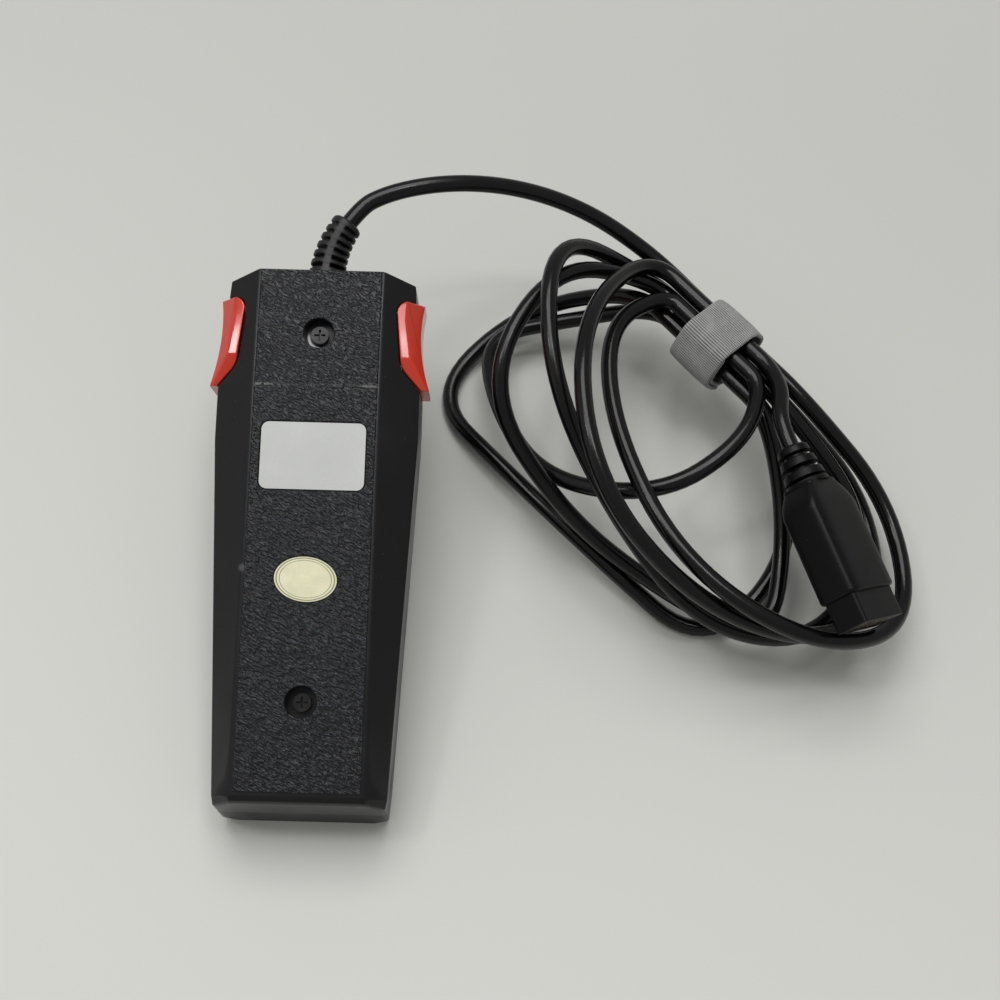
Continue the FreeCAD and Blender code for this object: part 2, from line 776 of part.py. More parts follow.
# Front shell: bosses for the case screws, ribs for the side boards and the stick opening.
floor_in = "-case_depth+case_wall"
boss_low = "-case_depth+case_wall/2"
bosses = [rod(f"boss_{n}", ("0", line, boss_low), up, "boss_radius",
              f"-well_depth-well_floor-({boss_low})")
          for n, line in enumerate(screw_lines)]
pilot = "screw_shank_length-well_floor+1"
pilots = [rod(f"pilot_{n}", ("0", line, f"-well_depth-well_floor-({pilot})"), up,
              "screw_shank_radius+pilot_gap", f"{pilot}+1")
          for n, line in enumerate(screw_lines)]
right_rib = block("right_rib", ("rib_side", "rib_side+rib_thickness"),
                  ("pusher_line-rib_half_length", "pusher_line+rib_half_length"),
                  (boss_low, "-rib_top_depth"))
left_rib = mirrored("left_rib", right_rib)
stick_hole = rod("stick_hole", ("0", "stick_line", "-case_depth-1"), up, "stick_opening_radius",
                 "case_wall+2")
front_solid = fuse("front_solid", cut("front_hollow", front_block, front_room), *bosses, right_rib,
                   left_rib)
piece("front_shell", cut("front_finished", front_solid, *pilots, stick_hole, relief_hole, right_opening,
                         left_opening))

# Case screws, label plate, sticker and the bare plate on the front.
screws = []
for n, line in enumerate(screw_lines):
    head = rod(f"head_{n}", ("0", line, "-well_depth"), up, "screw_head_radius", "screw_head_height")
    shank = rod(f"shank_{n}", ("0", line, "-well_depth"), down, "screw_shank_radius",
                "screw_shank_length")
    top = ("-well_depth+screw_head_height-screw_slot_depth", "-well_depth+screw_head_height+1")
    across = block(f"slot_across_{n}", ("-screw_slot_span/2", "screw_slot_span/2"),
                   (f"{line}-screw_slot_width/2", f"{line}+screw_slot_width/2"), top)
    along = block(f"slot_along_{n}", ("-screw_slot_width/2", "screw_slot_width/2"),
                  (f"{line}-screw_slot_span/2", f"{line}+screw_slot_span/2"), top)
    screws.append(cut(f"case_screw_{n}", fuse(f"screw_blank_{n}", head, shank), across, along))
piece("case_screws", group("case_screw_pair", *screws))
piece("label_plate", plate("label", "label_width/2", "label_height/2", "label_line", "-recess_depth",
                           "label_thickness", "label_corner"))
piece("oval_sticker", oval("sticker_sheet", "0", "-sticker_thickness", "sticker_thickness"))
piece("front_badge", plate("badge", "badge_width/2", "badge_height/2", "badge_line",
                           "-case_depth-badge_thickness", "badge_thickness", "label_corner"))

# Stick and what turns with it, as heights towards the rear from its pivot.
pivot = "-pivot_depth"
spigot_bore = "spigot_radius+fit_gap"
spigot_end = f"{pivot}+shaft_shoulder+spigot_length"
shaft = turned("shaft", [
    ("0", f"{pivot}-shaft_front"), ("shaft_radius", f"{pivot}-shaft_front"),
    ("shaft_radius", f"{pivot}+shaft_shoulder"), ("spigot_radius", f"{pivot}+shaft_shoulder"),
    ("spigot_radius", spigot_end), ("0", spigot_end),
], "0", "stick_line")
pin_hole = rod("pin_hole", ("0", "stick_line-shaft_radius-1", pivot), (0, 1, 0),
               "cross_pin_radius+fit_gap", "2*shaft_radius+2")
piece("stick_shaft", cut("stick_shaft_drilled", shaft, pin_hole))
knob = turned("knob", [
    ("shaft_radius+fit_gap", f"{pivot}-knob_start"), ("knob_neck_radius", f"{pivot}-knob_start"),
    ("knob_radius", f"{pivot}-knob_start-knob_flare"), ("knob_radius", f"{pivot}-knob_end"),
    ("0", f"{pivot}-knob_end"), ("0", f"{pivot}-shaft_front-fit_gap"),
    ("shaft_radius+fit_gap", f"{pivot}-shaft_front-fit_gap"),
], "0", "stick_line")
doc.recompute()
knob_bottom = -size("pivot_depth") - size("knob_end")
rounded(knob, "knob_rim", "knob_round",
        lambda e, p: near(p.z, knob_bottom) and near(abs(p.x), size("knob_radius")))
piece("stick_knob", knob)


def ring(name, outer, bore, low, high):
    """Flat ring about the stick's axis."""
    body = rod(name + "_body", ("0", "stick_line", low), up, outer, f"({high})-({low})")
    hole = rod(name + "_bore", ("0", "stick_line", f"({low})-1"), up, bore, f"({high})-({low})+2")
    return cut(name, body, hole)


disc_top = f"{pivot}+shaft_shoulder+disc_thickness"
piece("stick_actuator", ring("actuator", "disc_radius", spigot_bore, f"{pivot}+shaft_shoulder",
                             disc_top))
piece("stick_clip", ring("clip", "clip_radius", spigot_bore, disc_top, f"{disc_top}+clip_thickness"))
domes = []
for name, radius in (("cap_outside", "cap_outer_radius"),
                     ("cap_inside", "cap_outer_radius-cap_thickness")):
    ball = doc.addObject("Part::Sphere", name)
    domes.append(link(ball, {"Radius": radius, "Placement.Base.y": "stick_line",
                             "Placement.Base.z": pivot}))
cap_above = block("cap_above", ("-2*cap_outer_radius", "2*cap_outer_radius"),
                  ("stick_line-2*cap_outer_radius", "stick_line+2*cap_outer_radius"),
                  (f"{pivot}-cap_edge_height", "2*cap_outer_radius"))
cap_bore = rod("cap_bore", ("0", "stick_line", "-case_depth-1"), up, "shaft_radius+fit_gap",
               "case_depth+2")
piece("stick_dust_cap", cut("dust_cap", *domes, cap_above, cap_bore))
piece("stick_cross_pin", rod("cross_pin", ("0", "stick_line-cross_pin_half", pivot), (0, 1, 0),
                             "cross_pin_radius", "2*cross_pin_half"))
bezel = turned("bezel", [
    ("bezel_bore", "-case_depth"), ("bezel_radius", "-case_depth"),
    ("bezel_radius", "-case_depth-bezel_height+bezel_round"),
    ("bezel_radius-bezel_round", "-case_depth-bezel_height"), ("bezel_bore", "-case_depth-bezel_height"),
], "0", "stick_line")
piece("stick_bezel", bezel)

# Ring that lets the stick tilt two ways, its cradle on the front shell and the cradle's cap.
ring_body = ring("ring_body", "ring_outer", "ring_inner", f"{pivot}-ring_half_height",
                 f"{pivot}+ring_half_height")
ring_wall = "ring_outer-1"
trunnion = rod("trunnion", (ring_wall, "stick_line", pivot), (1, 0, 0), "trunnion_radius",
               f"trunnion_reach-({ring_wall})")
ring_hole = rod("ring_hole", ("0", "stick_line-ring_outer-1", pivot), (0, 1, 0),
                "cross_pin_radius+ring_hole_gap", "2*ring_outer+2")
piece("gimbal_ring", cut("gimbal", fuse("gimbal_solid", ring_body, trunnion,
                                        mirrored("left_trunnion", trunnion)), ring_hole))
cradle_top = f"{pivot}+trunnion_radius+cradle_rim_gap"
cradle_body = ring("cradle_body", "cradle_outer", "cradle_inner", floor_in, cradle_top)
slot_radius = "trunnion_radius+trunnion_play"
slot_round = rod("slot_round", ("-cradle_outer-1", "stick_line", pivot), (1, 0, 0), slot_radius,
                 "2*cradle_outer+2")
slot_open = block("slot_open", ("-cradle_outer-1", "cradle_outer+1"),
                  (f"stick_line-({slot_radius})", f"stick_line+{slot_radius}"),
                  (pivot, f"{cradle_top}+1"))
cap_top = f"{cradle_top}+cradle_cap_height"
screw_circle = "(cradle_inner+cradle_outer)/2"
cap_spots = [f"stick_line-{screw_circle}", f"stick_line+{screw_circle}"]
cradle_holes = [rod(f"cradle_hole_{n}", ("0", y, f"{cap_top}+1"), down, "cradle_screw_radius+fit_gap",
                    "cradle_screw_length+1+fit_gap")
                for n, y in enumerate(cap_spots)]
piece("stick_cradle", cut("cradle", cradle_body, slot_round, slot_open, *cradle_holes))
piece("cradle_cap", cut("cradle_lid", ring("lid_ring", "cradle_outer", "cradle_cap_bore", cradle_top,
                                           cap_top), *cradle_holes))


def small_screw(name, x, y, z, along, radius, length):
    """Pan-head screw whose head sits on a face."""
    away = tuple(-part for part in along)
    head = rod(name + "_head", (x, y, z), away, "small_head_radius", "small_head_height")
    shank = rod(name + "_shank", (x, y, z), along, radius, length)
    return fuse(name, head, shank)


piece("cradle_screws", group("cradle_screw_pair", *[
    small_screw(f"cradle_screw_{n}", "0", y, cap_top, down, "cradle_screw_radius",
                "cradle_screw_length") for n, y in enumerate(cap_spots)]))

# Main board with its screws, header and rubber domes.
board_face = "-board_front_depth"
board_blank = block("board_blank", ("-board_half_width", "board_half_width"),
                    ("board_start", "board_end"), (board_face, board_back))
boss_pass = rod("boss_pass", ("0", "upper_screw_line", "-case_depth"), up, "tube_radius+board_hole_gap",
                "case_depth")
board_holes = [rod(f"board_hole_{n}", (x, y, f"{board_face}-1"), up, "board_screw_radius+fit_gap",
                   "board_thick+2")
               for n, (x, y) in enumerate(post_spots)]
piece("main_board", cut("main_board_drilled", board_blank, boss_pass, *board_holes))
piece("board_screws", group("board_screw_set", *[
    small_screw(f"board_screw_{n}", x, y, board_face, up, "board_screw_radius",
                "board_screw_length") for n, (x, y) in enumerate(post_spots)]))
mat = block("mat", ("-mat_half", "mat_half"), ("stick_line-mat_half", "stick_line+mat_half"),
            (f"{board_face}-mat_thickness", board_face))
dome_spots = [("-dome_offset", "stick_line"), ("dome_offset", "stick_line"),
              ("0", "stick_line-dome_offset"), ("0", "stick_line+dome_offset")]
piece("direction_domes", fuse("domes_on_mat", mat, *[
    rod(f"dome_{n}", (x, y, board_face), down, "dome_radius", "mat_thickness+dome_height")
    for n, (x, y) in enumerate(dome_spots)]))
piece("wire_header", block("header", ("-header_half", "header_half"),
                           ("board_end-header_inset-header_length", "board_end-header_inset"),
                           (f"{board_face}-header_height", board_face)))

# Side boards on their ribs, each with one dome under a pusher.
board_in = "rib_side+rib_thickness"
side_board = block("side_board", (board_in, f"{board_in}+board_thickness"),
                   ("pusher_line-rib_half_length", "pusher_line+rib_half_length"),
                   ("-rib_top_depth-side_board_height", "-rib_top_depth"))
side_dome = rod("side_dome", (f"{board_in}+board_thickness", "pusher_line", "-pusher_depth"), (1, 0, 0),
                "side_dome_radius", "side_dome_height")
for node, obj in (("right_fire_button", right_button), ("right_fire_board", side_board),
                  ("right_fire_dome", side_dome)):
    piece(node, obj)
for node, obj in (("left_fire_button", left_button), ("left_fire_board", side_board),
                  ("left_fire_dome", side_dome)):
    piece(node, obj if obj is left_button else mirrored(node + "_mirror", obj))

# Strain relief: a flange inside the end wall, a neck in its hole, and a ribbed boot that
# bends sideways, with a spine on each of its four sides that leaves windows between them.
bend_centre = Vector(size("relief_bend_radius"), size("case_length"), -size("parting_depth"))
boot_start = Vector(0, size("case_length"), -size("parting_depth"))
boot_turn = size("relief_turn")


def boot_disc(radius):
    """Round face across the start of the boot."""
    return Part.Face(Part.Wire(Part.makeCircle(radius, boot_start, Vector(0, 1, 0))))


def boot_sector(face, start, turn):
    """Face swept round the bend from one angle through another."""
    moved = face.copy()
    moved.rotate(bend_centre, Vector(0, 0, -1), start)
    return moved.revolve(bend_centre, Vector(0, 0, -1), turn)


rib_pitch = boot_turn / (RELIEF_RIBS - 1 + size("relief_rib_share"))
rib_turn = rib_pitch * size("relief_rib_share")
boot = [boot_sector(boot_disc(size("relief_core_radius")), 0, boot_turn)]
rib_lead = rib_pitch * size("relief_rib_lead")
for number in range(RELIEF_RIBS):
    share = number / (RELIEF_RIBS - 1)
    radius = size("relief_root_radius") + share * (size("relief_tip_radius") - size("relief_root_radius"))
    rib_start = max(0.0, number * rib_pitch - rib_lead)
    rib_end = boot_turn if number == RELIEF_RIBS - 1 else number * rib_pitch - rib_lead + rib_turn
    boot.append(boot_sector(boot_disc(radius), rib_start, rib_end - rib_start))
    if number < RELIEF_RIBS - 1:
        for half, reach, flat in (
                (size("relief_spine") / 2, radius - size("relief_spine_inset"), False),
                (size("relief_side") / 2, radius - size("relief_side_inset"), True)):
            square = ((-half, -reach), (half, -reach), (half, reach), (-half, reach), (-half, -reach))
            corners = [boot_start + (Vector(z, 0, x) if flat else Vector(x, 0, z)) for x, z in square]
            spine = Part.Face(Part.makePolygon(corners))
            boot.append(boot_sector(spine, rib_end - rib_turn / 2, rib_pitch))
inner_face = size("case_length") - size("case_wall") - size("relief_hole_gap")
flange_start = inner_face - size("relief_flange_thickness")
middle = -size("parting_depth")
boot.append(Part.makeCylinder(size("relief_flange_radius"), size("relief_flange_thickness"),
                              Vector(0, flange_start, middle), Vector(0, 1, 0)))
boot.append(Part.makeCylinder(size("relief_neck_radius"), size("case_length") - inner_face,
                              Vector(0, inner_face, middle), Vector(0, 1, 0)))
relief = doc.addObject("Part::Feature", "relief")
relief.Shape = boot[0].fuse(boot[1:]).removeSplitter()
piece("strain_relief", relief)
inner_end = "case_length-case_wall-relief_hole_gap-relief_flange_thickness"
piece("inner_cord", rod("inner_cord_run", ("0", "board_end-header_inset", "-parting_depth"), (0, 1, 0),
                        "cord_radius", f"{inner_end}-(board_end-header_inset)"))

# The case's place on the floor: its own box, without the cord and its boot, is centred.
CORD_NODES = ("strain_relief", "cord_lead", "cord_coil", "cord_tail", "cable_tie", "plug_relief",
              "plug_hood", "plug_nose", "plug_contacts")
doc.recompute()
low, high = [], []
for node, (obj, place) in pieces.items():
    if node not in CORD_NODES:
        turned_shape = obj.Shape.copy()
        turned_shape.Placement = Placement(Vector(), case_turn)
        box = turned_shape.optimalBoundingBox(False)
        low.append(box.YMin)
        high.append(box.YMax)
case_place = Placement(Vector(0, -(min(low) + max(high)) / 2, lift), case_turn)


# Free cord: straight runs joined by tangent arcs.
def arc_between(start, corner, end):
    """Arc that leaves start towards a corner and arrives at end from it."""
    middle = (start + end) * 0.5
    rise = (corner - middle).Length
    half = (end - start).Length / 2
    if rise < 1e-6:
        return Part.LineSegment(start, end).toShape()
    crest = middle + (corner - middle) * (half * math.tan(math.atan2(rise, half) / 2) / rise)
    return Part.Arc(start, crest, end).toShape()


def free_route(points):
    """Edges of a route and the radius of each of its arcs."""
    edges, radii = [], []
    at = points[0]
    for before, corner, after in zip(points, points[1:], points[2:]):
        back, ahead = before - corner, after - corner
        trim = 0.45 * min(back.Length, ahead.Length)
        start = corner + back * (trim / back.Length)
        end = corner + ahead * (trim / ahead.Length)
        edges.append(Part.LineSegment(at, start).toShape())
        edges.append(arc_between(start, corner, end))
        radii.append(trim / math.tan((math.pi - back.getAngle(ahead)) / 2))
        at = end
    edges.append(Part.LineSegment(at, points[-1]).toShape())
    return edges, radii


def tube(name, edges, radius):
    """Round tube along a chain of edges, checked against its section times its length."""
    wire = Part.Wire(edges)
    first = edges[0]
    circle = Part.Wire(Part.makeCircle(radius, first.valueAt(first.FirstParameter),
                                       first.tangentAt(first.FirstParameter)))
    shell = Part.BRepOffsetAPI.MakePipeShell(wire)
    shell.add(circle)
    shell.build()
    shell.makeSolid()
    obj = doc.addObject("Part::Feature", name)
    obj.Shape = shell.shape()
    share = obj.Shape.Volume / (math.pi * radius ** 2 * wire.Length)
    print(f"{name}: length {wire.Length:.1f} mm, volume {share:.4f} of its section times its length")
    return obj


cord_radius = size("cord_radius")
tie_centre = Vector(size("tie_side"), size("tie_line"), size("tie_height"))
heading = math.radians(size("tie_heading"))
tie_axis = Vector(math.cos(heading), math.sin(heading), 0)
tie_across = Vector(-math.sin(heading), math.cos(heading), 0)
tip_turn = math.radians(boot_turn)
tip = Vector(
    size("relief_bend_radius") * (1 - math.cos(tip_turn)),
    size("case_length") + size("relief_bend_radius") * math.sin(tip_turn),
    -size("parting_depth"),
)
lead_start = case_place.multVec(tip)
lead_heading = case_turn.multVec(Vector(math.sin(tip_turn), math.cos(tip_turn), 0))


def slot(number):
    """Place of one passage of the cord through the strap."""
    if number == 0:
        return tie_centre
    angle = math.radians(60 * (number - 1))
    aside = tie_across * math.cos(angle) + Vector(0, 0, math.sin(angle))
    return tie_centre + aside * size("strand_pitch")


half_run = tie_axis * size("strand_straight")
passages = [slot(number) for number in PASSAGES]
coil_start = passages[0] - half_run
coil_end = passages[-1] + half_run
lead_edges, lead_radii = free_route([
    lead_start, lead_start + lead_heading * size("lead_first_run"),
    *[Vector(*point) for point in LEAD_ROUTE],
    coil_start - tie_axis * size("lead_last_run"), coil_start,
])


# Hank: each loop starts and ends in the strap and passes three nodes between, joined by
# biarcs; a loop is an oval with an egg and a bow term, its heights given at the nodes.
def loop_node(loop, share, start, end, height):
    """Point and level heading of a loop at one share of its turn."""
    length, width, at_strap, lean, egg, bow = loop[:6]
    along = Vector(math.cos(math.radians(lean)), math.sin(math.radians(lean)), 0)
    aside = Vector(along.y, -along.x, 0)
    first = math.radians(at_strap)
    phase = first + 2 * math.pi * share

    def oval(angle):
        wide = width * math.sin(angle) + egg * math.sin(2 * angle) + bow * math.cos(2 * angle)
        return along * (length * math.cos(angle)) + aside * wide

    spot = start * (1 - share) + end * share + oval(phase) - oval(first)
    rate = along * (-length * math.sin(phase)) + aside * (
        width * math.cos(phase) + 2 * egg * math.cos(2 * phase) - 2 * bow * math.sin(2 * phase))
    rate = rate * (2 * math.pi) + Vector(end.x - start.x, end.y - start.y, 0)
    return Vector(spot.x, spot.y, height), Vector(rate.x, rate.y, 0)


def biarc(start, heading_in, end, heading_out):
    """Two tangent arcs from one point and heading to another."""
    chord = end - start
    both = heading_in + heading_out
    open_angle = 2 * (1 - heading_in.dot(heading_out))
    if open_angle < 1e-9:
        reach = chord.dot(chord) / (4 * chord.dot(heading_out))
    else:
        share = chord.dot(both)
        reach = (-share + math.sqrt(share * share + open_angle * chord.dot(chord))) / open_angle
    corner_in, corner_out = start + heading_in * reach, end - heading_out * reach
    joint = (corner_in + corner_out) * 0.5
    return [arc_between(start, corner_in, joint), arc_between(joint, corner_out, end)]


def flat(vector):
    """Level length of a vector."""
    return math.hypot(vector.x, vector.y)


coil_edges = []
for loop, start, end in zip(LOOPS, passages, passages[1:]):
    coil_edges.append(Part.LineSegment(start - half_run, start + half_run).toShape())
    spots = [(start + half_run, tie_axis)]
    for share, height in zip((0.25, 0.5, 0.75), loop[6:]):
        spots.append(loop_node(loop, share, start, end, height))
    spots.append((end - half_run, tie_axis))
    for number in range(1, len(spots) - 1):
        spot, rate = spots[number]
        before, after = spots[number - 1][0], spots[number + 1][0]
        level = rate * (1 / rate.Length)
        rise = (after.z - before.z) / ((flat(after - spot) + flat(spot - before)) * 1.15)
        sloped = Vector(level.x, level.y, rise)
        spots[number] = (spot, sloped * (1 / sloped.Length))
    for (a, a_heading), (b, b_heading) in zip(spots, spots[1:]):
        coil_edges += biarc(a, a_heading, b, b_heading)
coil_edges.append(Part.LineSegment(passages[-1] - half_run, passages[-1] + half_run).toShape())

plug_start = Vector(*PLUG_START)
plug_axis = Vector(*PLUG_AXIS) * (1 / Vector(*PLUG_AXIS).Length)
level_side = Vector(-plug_axis.y, plug_axis.x, 0) * (1 / flat(plug_axis))
roll = math.radians(PLUG_ROLL)
plug_up = plug_axis.cross(level_side)
plug_normal = plug_up * math.cos(roll) + level_side * math.sin(roll)
plug_side = plug_axis.cross(plug_normal)
plug_place = Placement(FreeCAD.Matrix(
    plug_side.x, plug_axis.x, plug_normal.x, plug_start.x,
    plug_side.y, plug_axis.y, plug_normal.y, plug_start.y,
    plug_side.z, plug_axis.z, plug_normal.z, plug_start.z,
    0, 0, 0, 1,
))
tail_end = plug_start - plug_axis * size("plug_relief_length")
tail_edges, tail_radii = free_route([
    coil_end, coil_end + tie_axis * size("tail_end_run"), *[Vector(*point) for point in TAIL_ROUTE],
    tail_end - plug_axis * size("tail_end_run"), tail_end,
])
floor_place = Placement()
piece("cord_lead", tube("lead", lead_edges, cord_radius), floor_place)
piece("cord_coil", tube("coil", coil_edges, cord_radius), floor_place)
piece("cord_tail", tube("tail", tail_edges, cord_radius), floor_place)

# Strap round the hank, its free end lying over the first turn; its own axis is z.
strap_bore = "strand_pitch+cord_radius+strap_gap"
strap_low = "-strap_width/2"
strap_turn = rod("strap_turn", ("0", "0", strap_low), up, f"{strap_bore}+strap_thickness", "strap_width")
strap_end = rod("strap_end", ("0", "0", strap_low), up, f"{strap_bore}+2*strap_thickness", "strap_width")
strap_end.Placement = Placement(strap_end.Placement.Base,
                                Rotation(Vector(0, 0, 1), size("strap_overlap_start")))
link(strap_end, {"Angle": "strap_overlap"})
strap_hole = rod("strap_hole", ("0", "0", f"{strap_low}-1"), up, strap_bore, "strap_width+2")
tie_place = Placement(FreeCAD.Matrix(
    tie_across.x, 0, tie_axis.x, tie_centre.x,
    tie_across.y, 0, tie_axis.y, tie_centre.y,
    0, 1, 0, tie_centre.z,
    0, 0, 0, 1,
))
piece("cable_tie", cut("strap", fuse("strap_solid", strap_turn, strap_end), strap_hole), tie_place)

# Plug in its own frame: width along x, cord end at the origin, mouth along y.
hood = doc.addObject("PartDesign::Body", "hood")
hood_right = [("hood_neck/2", "0"), ("hood_neck/2", "hood_collar"),
              ("plug_width/2", "hood_collar+hood_shoulder"), ("plug_width/2", "hood_length")]
hood_left = [(f"-({x})", y) for x, y in reversed(hood_right)]
hood_sketch = outline(hood, "hood_outline", [*hood_right, *hood_left], "XY_Plane", "-plug_thickness/2")
doc.recompute()
hood_pad = hood.newObject("PartDesign::Pad", "hood_pad")
hood_pad.Profile = hood_sketch
hood_pad.setExpression("Length", bound("plug_thickness"))
hood.Tip = hood_pad
doc.recompute()
flat_side = size("plug_thickness") / 2
rounded(hood, "hood_edges", "hood_round",
        lambda e, p: near(abs(p.z), flat_side) and abs(p.x) > size("hood_neck") / 2 + 0.5)
piece("plug_hood", hood, plug_place)
relief_core = rod("relief_core", ("0", "-plug_relief_length", "0"), (0, 1, 0), "plug_relief_core",
                  "plug_relief_length")
plug_ribs = []
for number in range(PLUG_RIBS):
    share = f"{number}/{PLUG_RIBS - 1}"
    rib_line = f"-plug_relief_length+{number}*plug_relief_length/{PLUG_RIBS}"
    plug_ribs.append(rod(
        f"plug_rib_{number}", ("0", rib_line, "0"), (0, 1, 0),
        f"plug_relief_tip+(plug_relief_root-plug_relief_tip)*{share}",
        f"plug_rib_share*plug_relief_length/{PLUG_RIBS}",
    ))
piece("plug_relief", fuse("plug_relief_solid", relief_core, *plug_ribs), plug_place)
nose = doc.addObject("PartDesign::Body", "nose")
nose_sketch = outline(nose, "nose_outline", [
    ("-nose_width/2", "-nose_thickness/2"), ("nose_width/2", "-nose_thickness/2"),
    ("nose_width/2", "nose_thickness/2"), ("-nose_width/2", "nose_thickness/2"),
], "XZ_Plane", "-hood_length-nose_length")
doc.recompute()
nose_pad = nose.newObject("PartDesign::Pad", "nose_pad")
nose_pad.Profile = nose_sketch
nose_pad.setExpression("Length", bound("nose_length"))
nose.Tip = nose_pad
doc.recompute()
rounded(nose, "nose_edges", "nose_round", lambda e, p: abs(e.tangentAt(e.FirstParameter).y) > 0.9)
contact_spots = [(f"{n}*contact_pitch", "contact_row_gap/2") for n in (-2, -1, 0, 1, 2)]
contact_spots += [(f"{n}*contact_pitch", "-contact_row_gap/2") for n in (-1.5, -0.5, 0.5, 1.5)]
contact_start = "hood_length+nose_length-contact_length"
contact_holes, contacts = [], []
for number, (x, z) in enumerate(contact_spots):
    contact_holes.append(rod(f"contact_hole_{number}", (x, contact_start, z), (0, 1, 0),
                             "contact_radius+contact_gap", "contact_length+1"))
    sleeve = rod(f"sleeve_{number}", (x, contact_start, z), (0, 1, 0), "contact_radius",
                 "contact_length")
    bore = rod(f"sleeve_bore_{number}", (x, f"{contact_start}+contact_wall_end", z), (0, 1, 0),
               "contact_bore", "contact_length")
    contacts.append(cut(f"contact_{number}", sleeve, bore))
piece("plug_nose", cut("nose_drilled", nose, *contact_holes), plug_place)
piece("plug_contacts", group("contact_set", *contacts), plug_place)

for node, (obj, place) in pieces.items():
    obj.Placement = case_place if place is None else place
doc.recompute()


def gap_to_itself(edges, step=1.4, skip=16.0):
    """Least distance between stretches of a route that are not neighbours."""
    points, travelled, run = [], [], 0.0
    for edge in edges:
        count = max(1, int(edge.Length / step))
        span = edge.LastParameter - edge.FirstParameter
        for n in range(count):
            at = edge.valueAt(edge.FirstParameter + span * n / count)
            points.append((at.x, at.y, at.z))
            travelled.append(run + edge.Length * n / count)
        run += edge.Length
    least = 1e9
    for i, (a, here) in enumerate(zip(points, travelled)):
        for b, there in zip(points[:i], travelled[:i]):
            if here - there < skip:
                break
            gap = (a[0] - b[0]) ** 2 + (a[1] - b[1]) ** 2 + (a[2] - b[2]) ** 2
            if gap < least:
                least = gap
    return math.sqrt(least)


print("lead radii", [round(r, 1) for r in lead_radii])
print("tail radii", [round(r, 1) for r in tail_radii])
coil_radii = [edge.Curve.Radius for edge in coil_edges if edge.Curve.TypeId == "Part::GeomCircle"]
coil_gap = gap_to_itself(coil_edges) - 2 * cord_radius
print(f"coil least radius {min(coil_radii):.1f} mm, gap to itself {coil_gap:.2f} mm")
place_base = [round(part, 3) for part in case_place.Base]
print(f"tilt {math.degrees(tilt):.3f} degrees, case place", *place_base)

faults = [obj.Name for obj in doc.Objects if "Invalid" in obj.State or "Error" in obj.State]
for node, (obj, place) in pieces.items():
    if obj.Shape.isNull() or not obj.Shape.isValid() or not obj.Shape.Solids:
        faults.append(node)
if faults:
    print("faults:", faults)
    sys.exit(1)

os.makedirs("parts", exist_ok=True)
for node, (obj, place) in pieces.items():
    obj.Shape.exportStep(f"parts/{node}.step")
print(len(pieces), "pieces written")
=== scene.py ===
"""Looks of a slim handheld joystick controller with its tied cord and moulded plug."""

import json
import logging
import math
from dataclasses import dataclass, field
from enum import Enum
from typing import Callable, Protocol

import bmesh
import bpy
from mathutils import Matrix, Vector
from mathutils.bvhtree import BVHTree

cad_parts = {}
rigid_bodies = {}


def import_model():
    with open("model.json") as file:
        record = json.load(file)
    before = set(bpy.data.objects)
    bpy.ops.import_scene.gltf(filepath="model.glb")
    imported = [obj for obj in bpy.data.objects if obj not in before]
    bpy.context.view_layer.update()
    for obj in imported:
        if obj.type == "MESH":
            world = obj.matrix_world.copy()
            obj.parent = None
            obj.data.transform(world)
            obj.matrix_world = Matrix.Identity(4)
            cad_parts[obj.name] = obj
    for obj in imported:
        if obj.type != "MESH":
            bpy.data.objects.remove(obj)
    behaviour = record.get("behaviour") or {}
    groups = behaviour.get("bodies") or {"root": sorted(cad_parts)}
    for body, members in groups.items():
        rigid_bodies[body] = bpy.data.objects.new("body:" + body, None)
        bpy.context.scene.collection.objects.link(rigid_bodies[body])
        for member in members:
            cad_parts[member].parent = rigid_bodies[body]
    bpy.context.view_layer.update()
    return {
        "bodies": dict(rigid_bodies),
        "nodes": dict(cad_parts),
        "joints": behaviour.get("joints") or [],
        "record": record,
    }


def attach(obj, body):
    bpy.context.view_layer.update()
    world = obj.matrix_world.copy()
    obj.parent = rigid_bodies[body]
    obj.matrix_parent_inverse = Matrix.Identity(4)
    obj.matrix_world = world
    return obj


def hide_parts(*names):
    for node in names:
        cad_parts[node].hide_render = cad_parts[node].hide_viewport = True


LOG = logging.getLogger("controller")
MM = 0.001
SPECK_COLOUR = (0.3, 0.3, 0.29)
Colour = tuple[float, float, float]
Value = float | Colour | bpy.types.NodeSocket
Sockets = tuple[bpy.types.NodeSocket, ...]
CentreLine = Callable[[float], tuple[Vector, Vector, Vector]]


class Body(Enum):
    """Bodies of the model that pieces ride on."""

    CASE = "case"
    STICK = "stick"
    LEFT_FIRE = "left_fire"
    RIGHT_FIRE = "right_fire"


@dataclass(frozen=True)
class CasePlace:
    """Where the case lies: its own frame has y along it and z out of its back."""

    tilt_degrees: float = 15.255
    base_mm: tuple[float, float, float] = (0.0, -70.01, 24.689)

    def matrix(self) -> Matrix:
        """Matrix from the case's own frame, in metres, to the row frame."""
        turn = Matrix.Rotation(math.radians(self.tilt_degrees), 4, "X")
        return Matrix.Translation(Vector(self.base_mm) * MM) @ turn

    def point(self, x: float, y: float, z: float) -> Vector:
        """Point given in the case's own frame, in millimetres, in the row frame."""
        return self.matrix() @ (Vector((x, y, z)) * MM)

    def direction(self, x: float, y: float, z: float) -> Vector:
        """Direction given in the case's own frame, in the row frame."""
        return self.matrix().to_3x3() @ Vector((x, y, z))


CASE_PLACE = CasePlace()


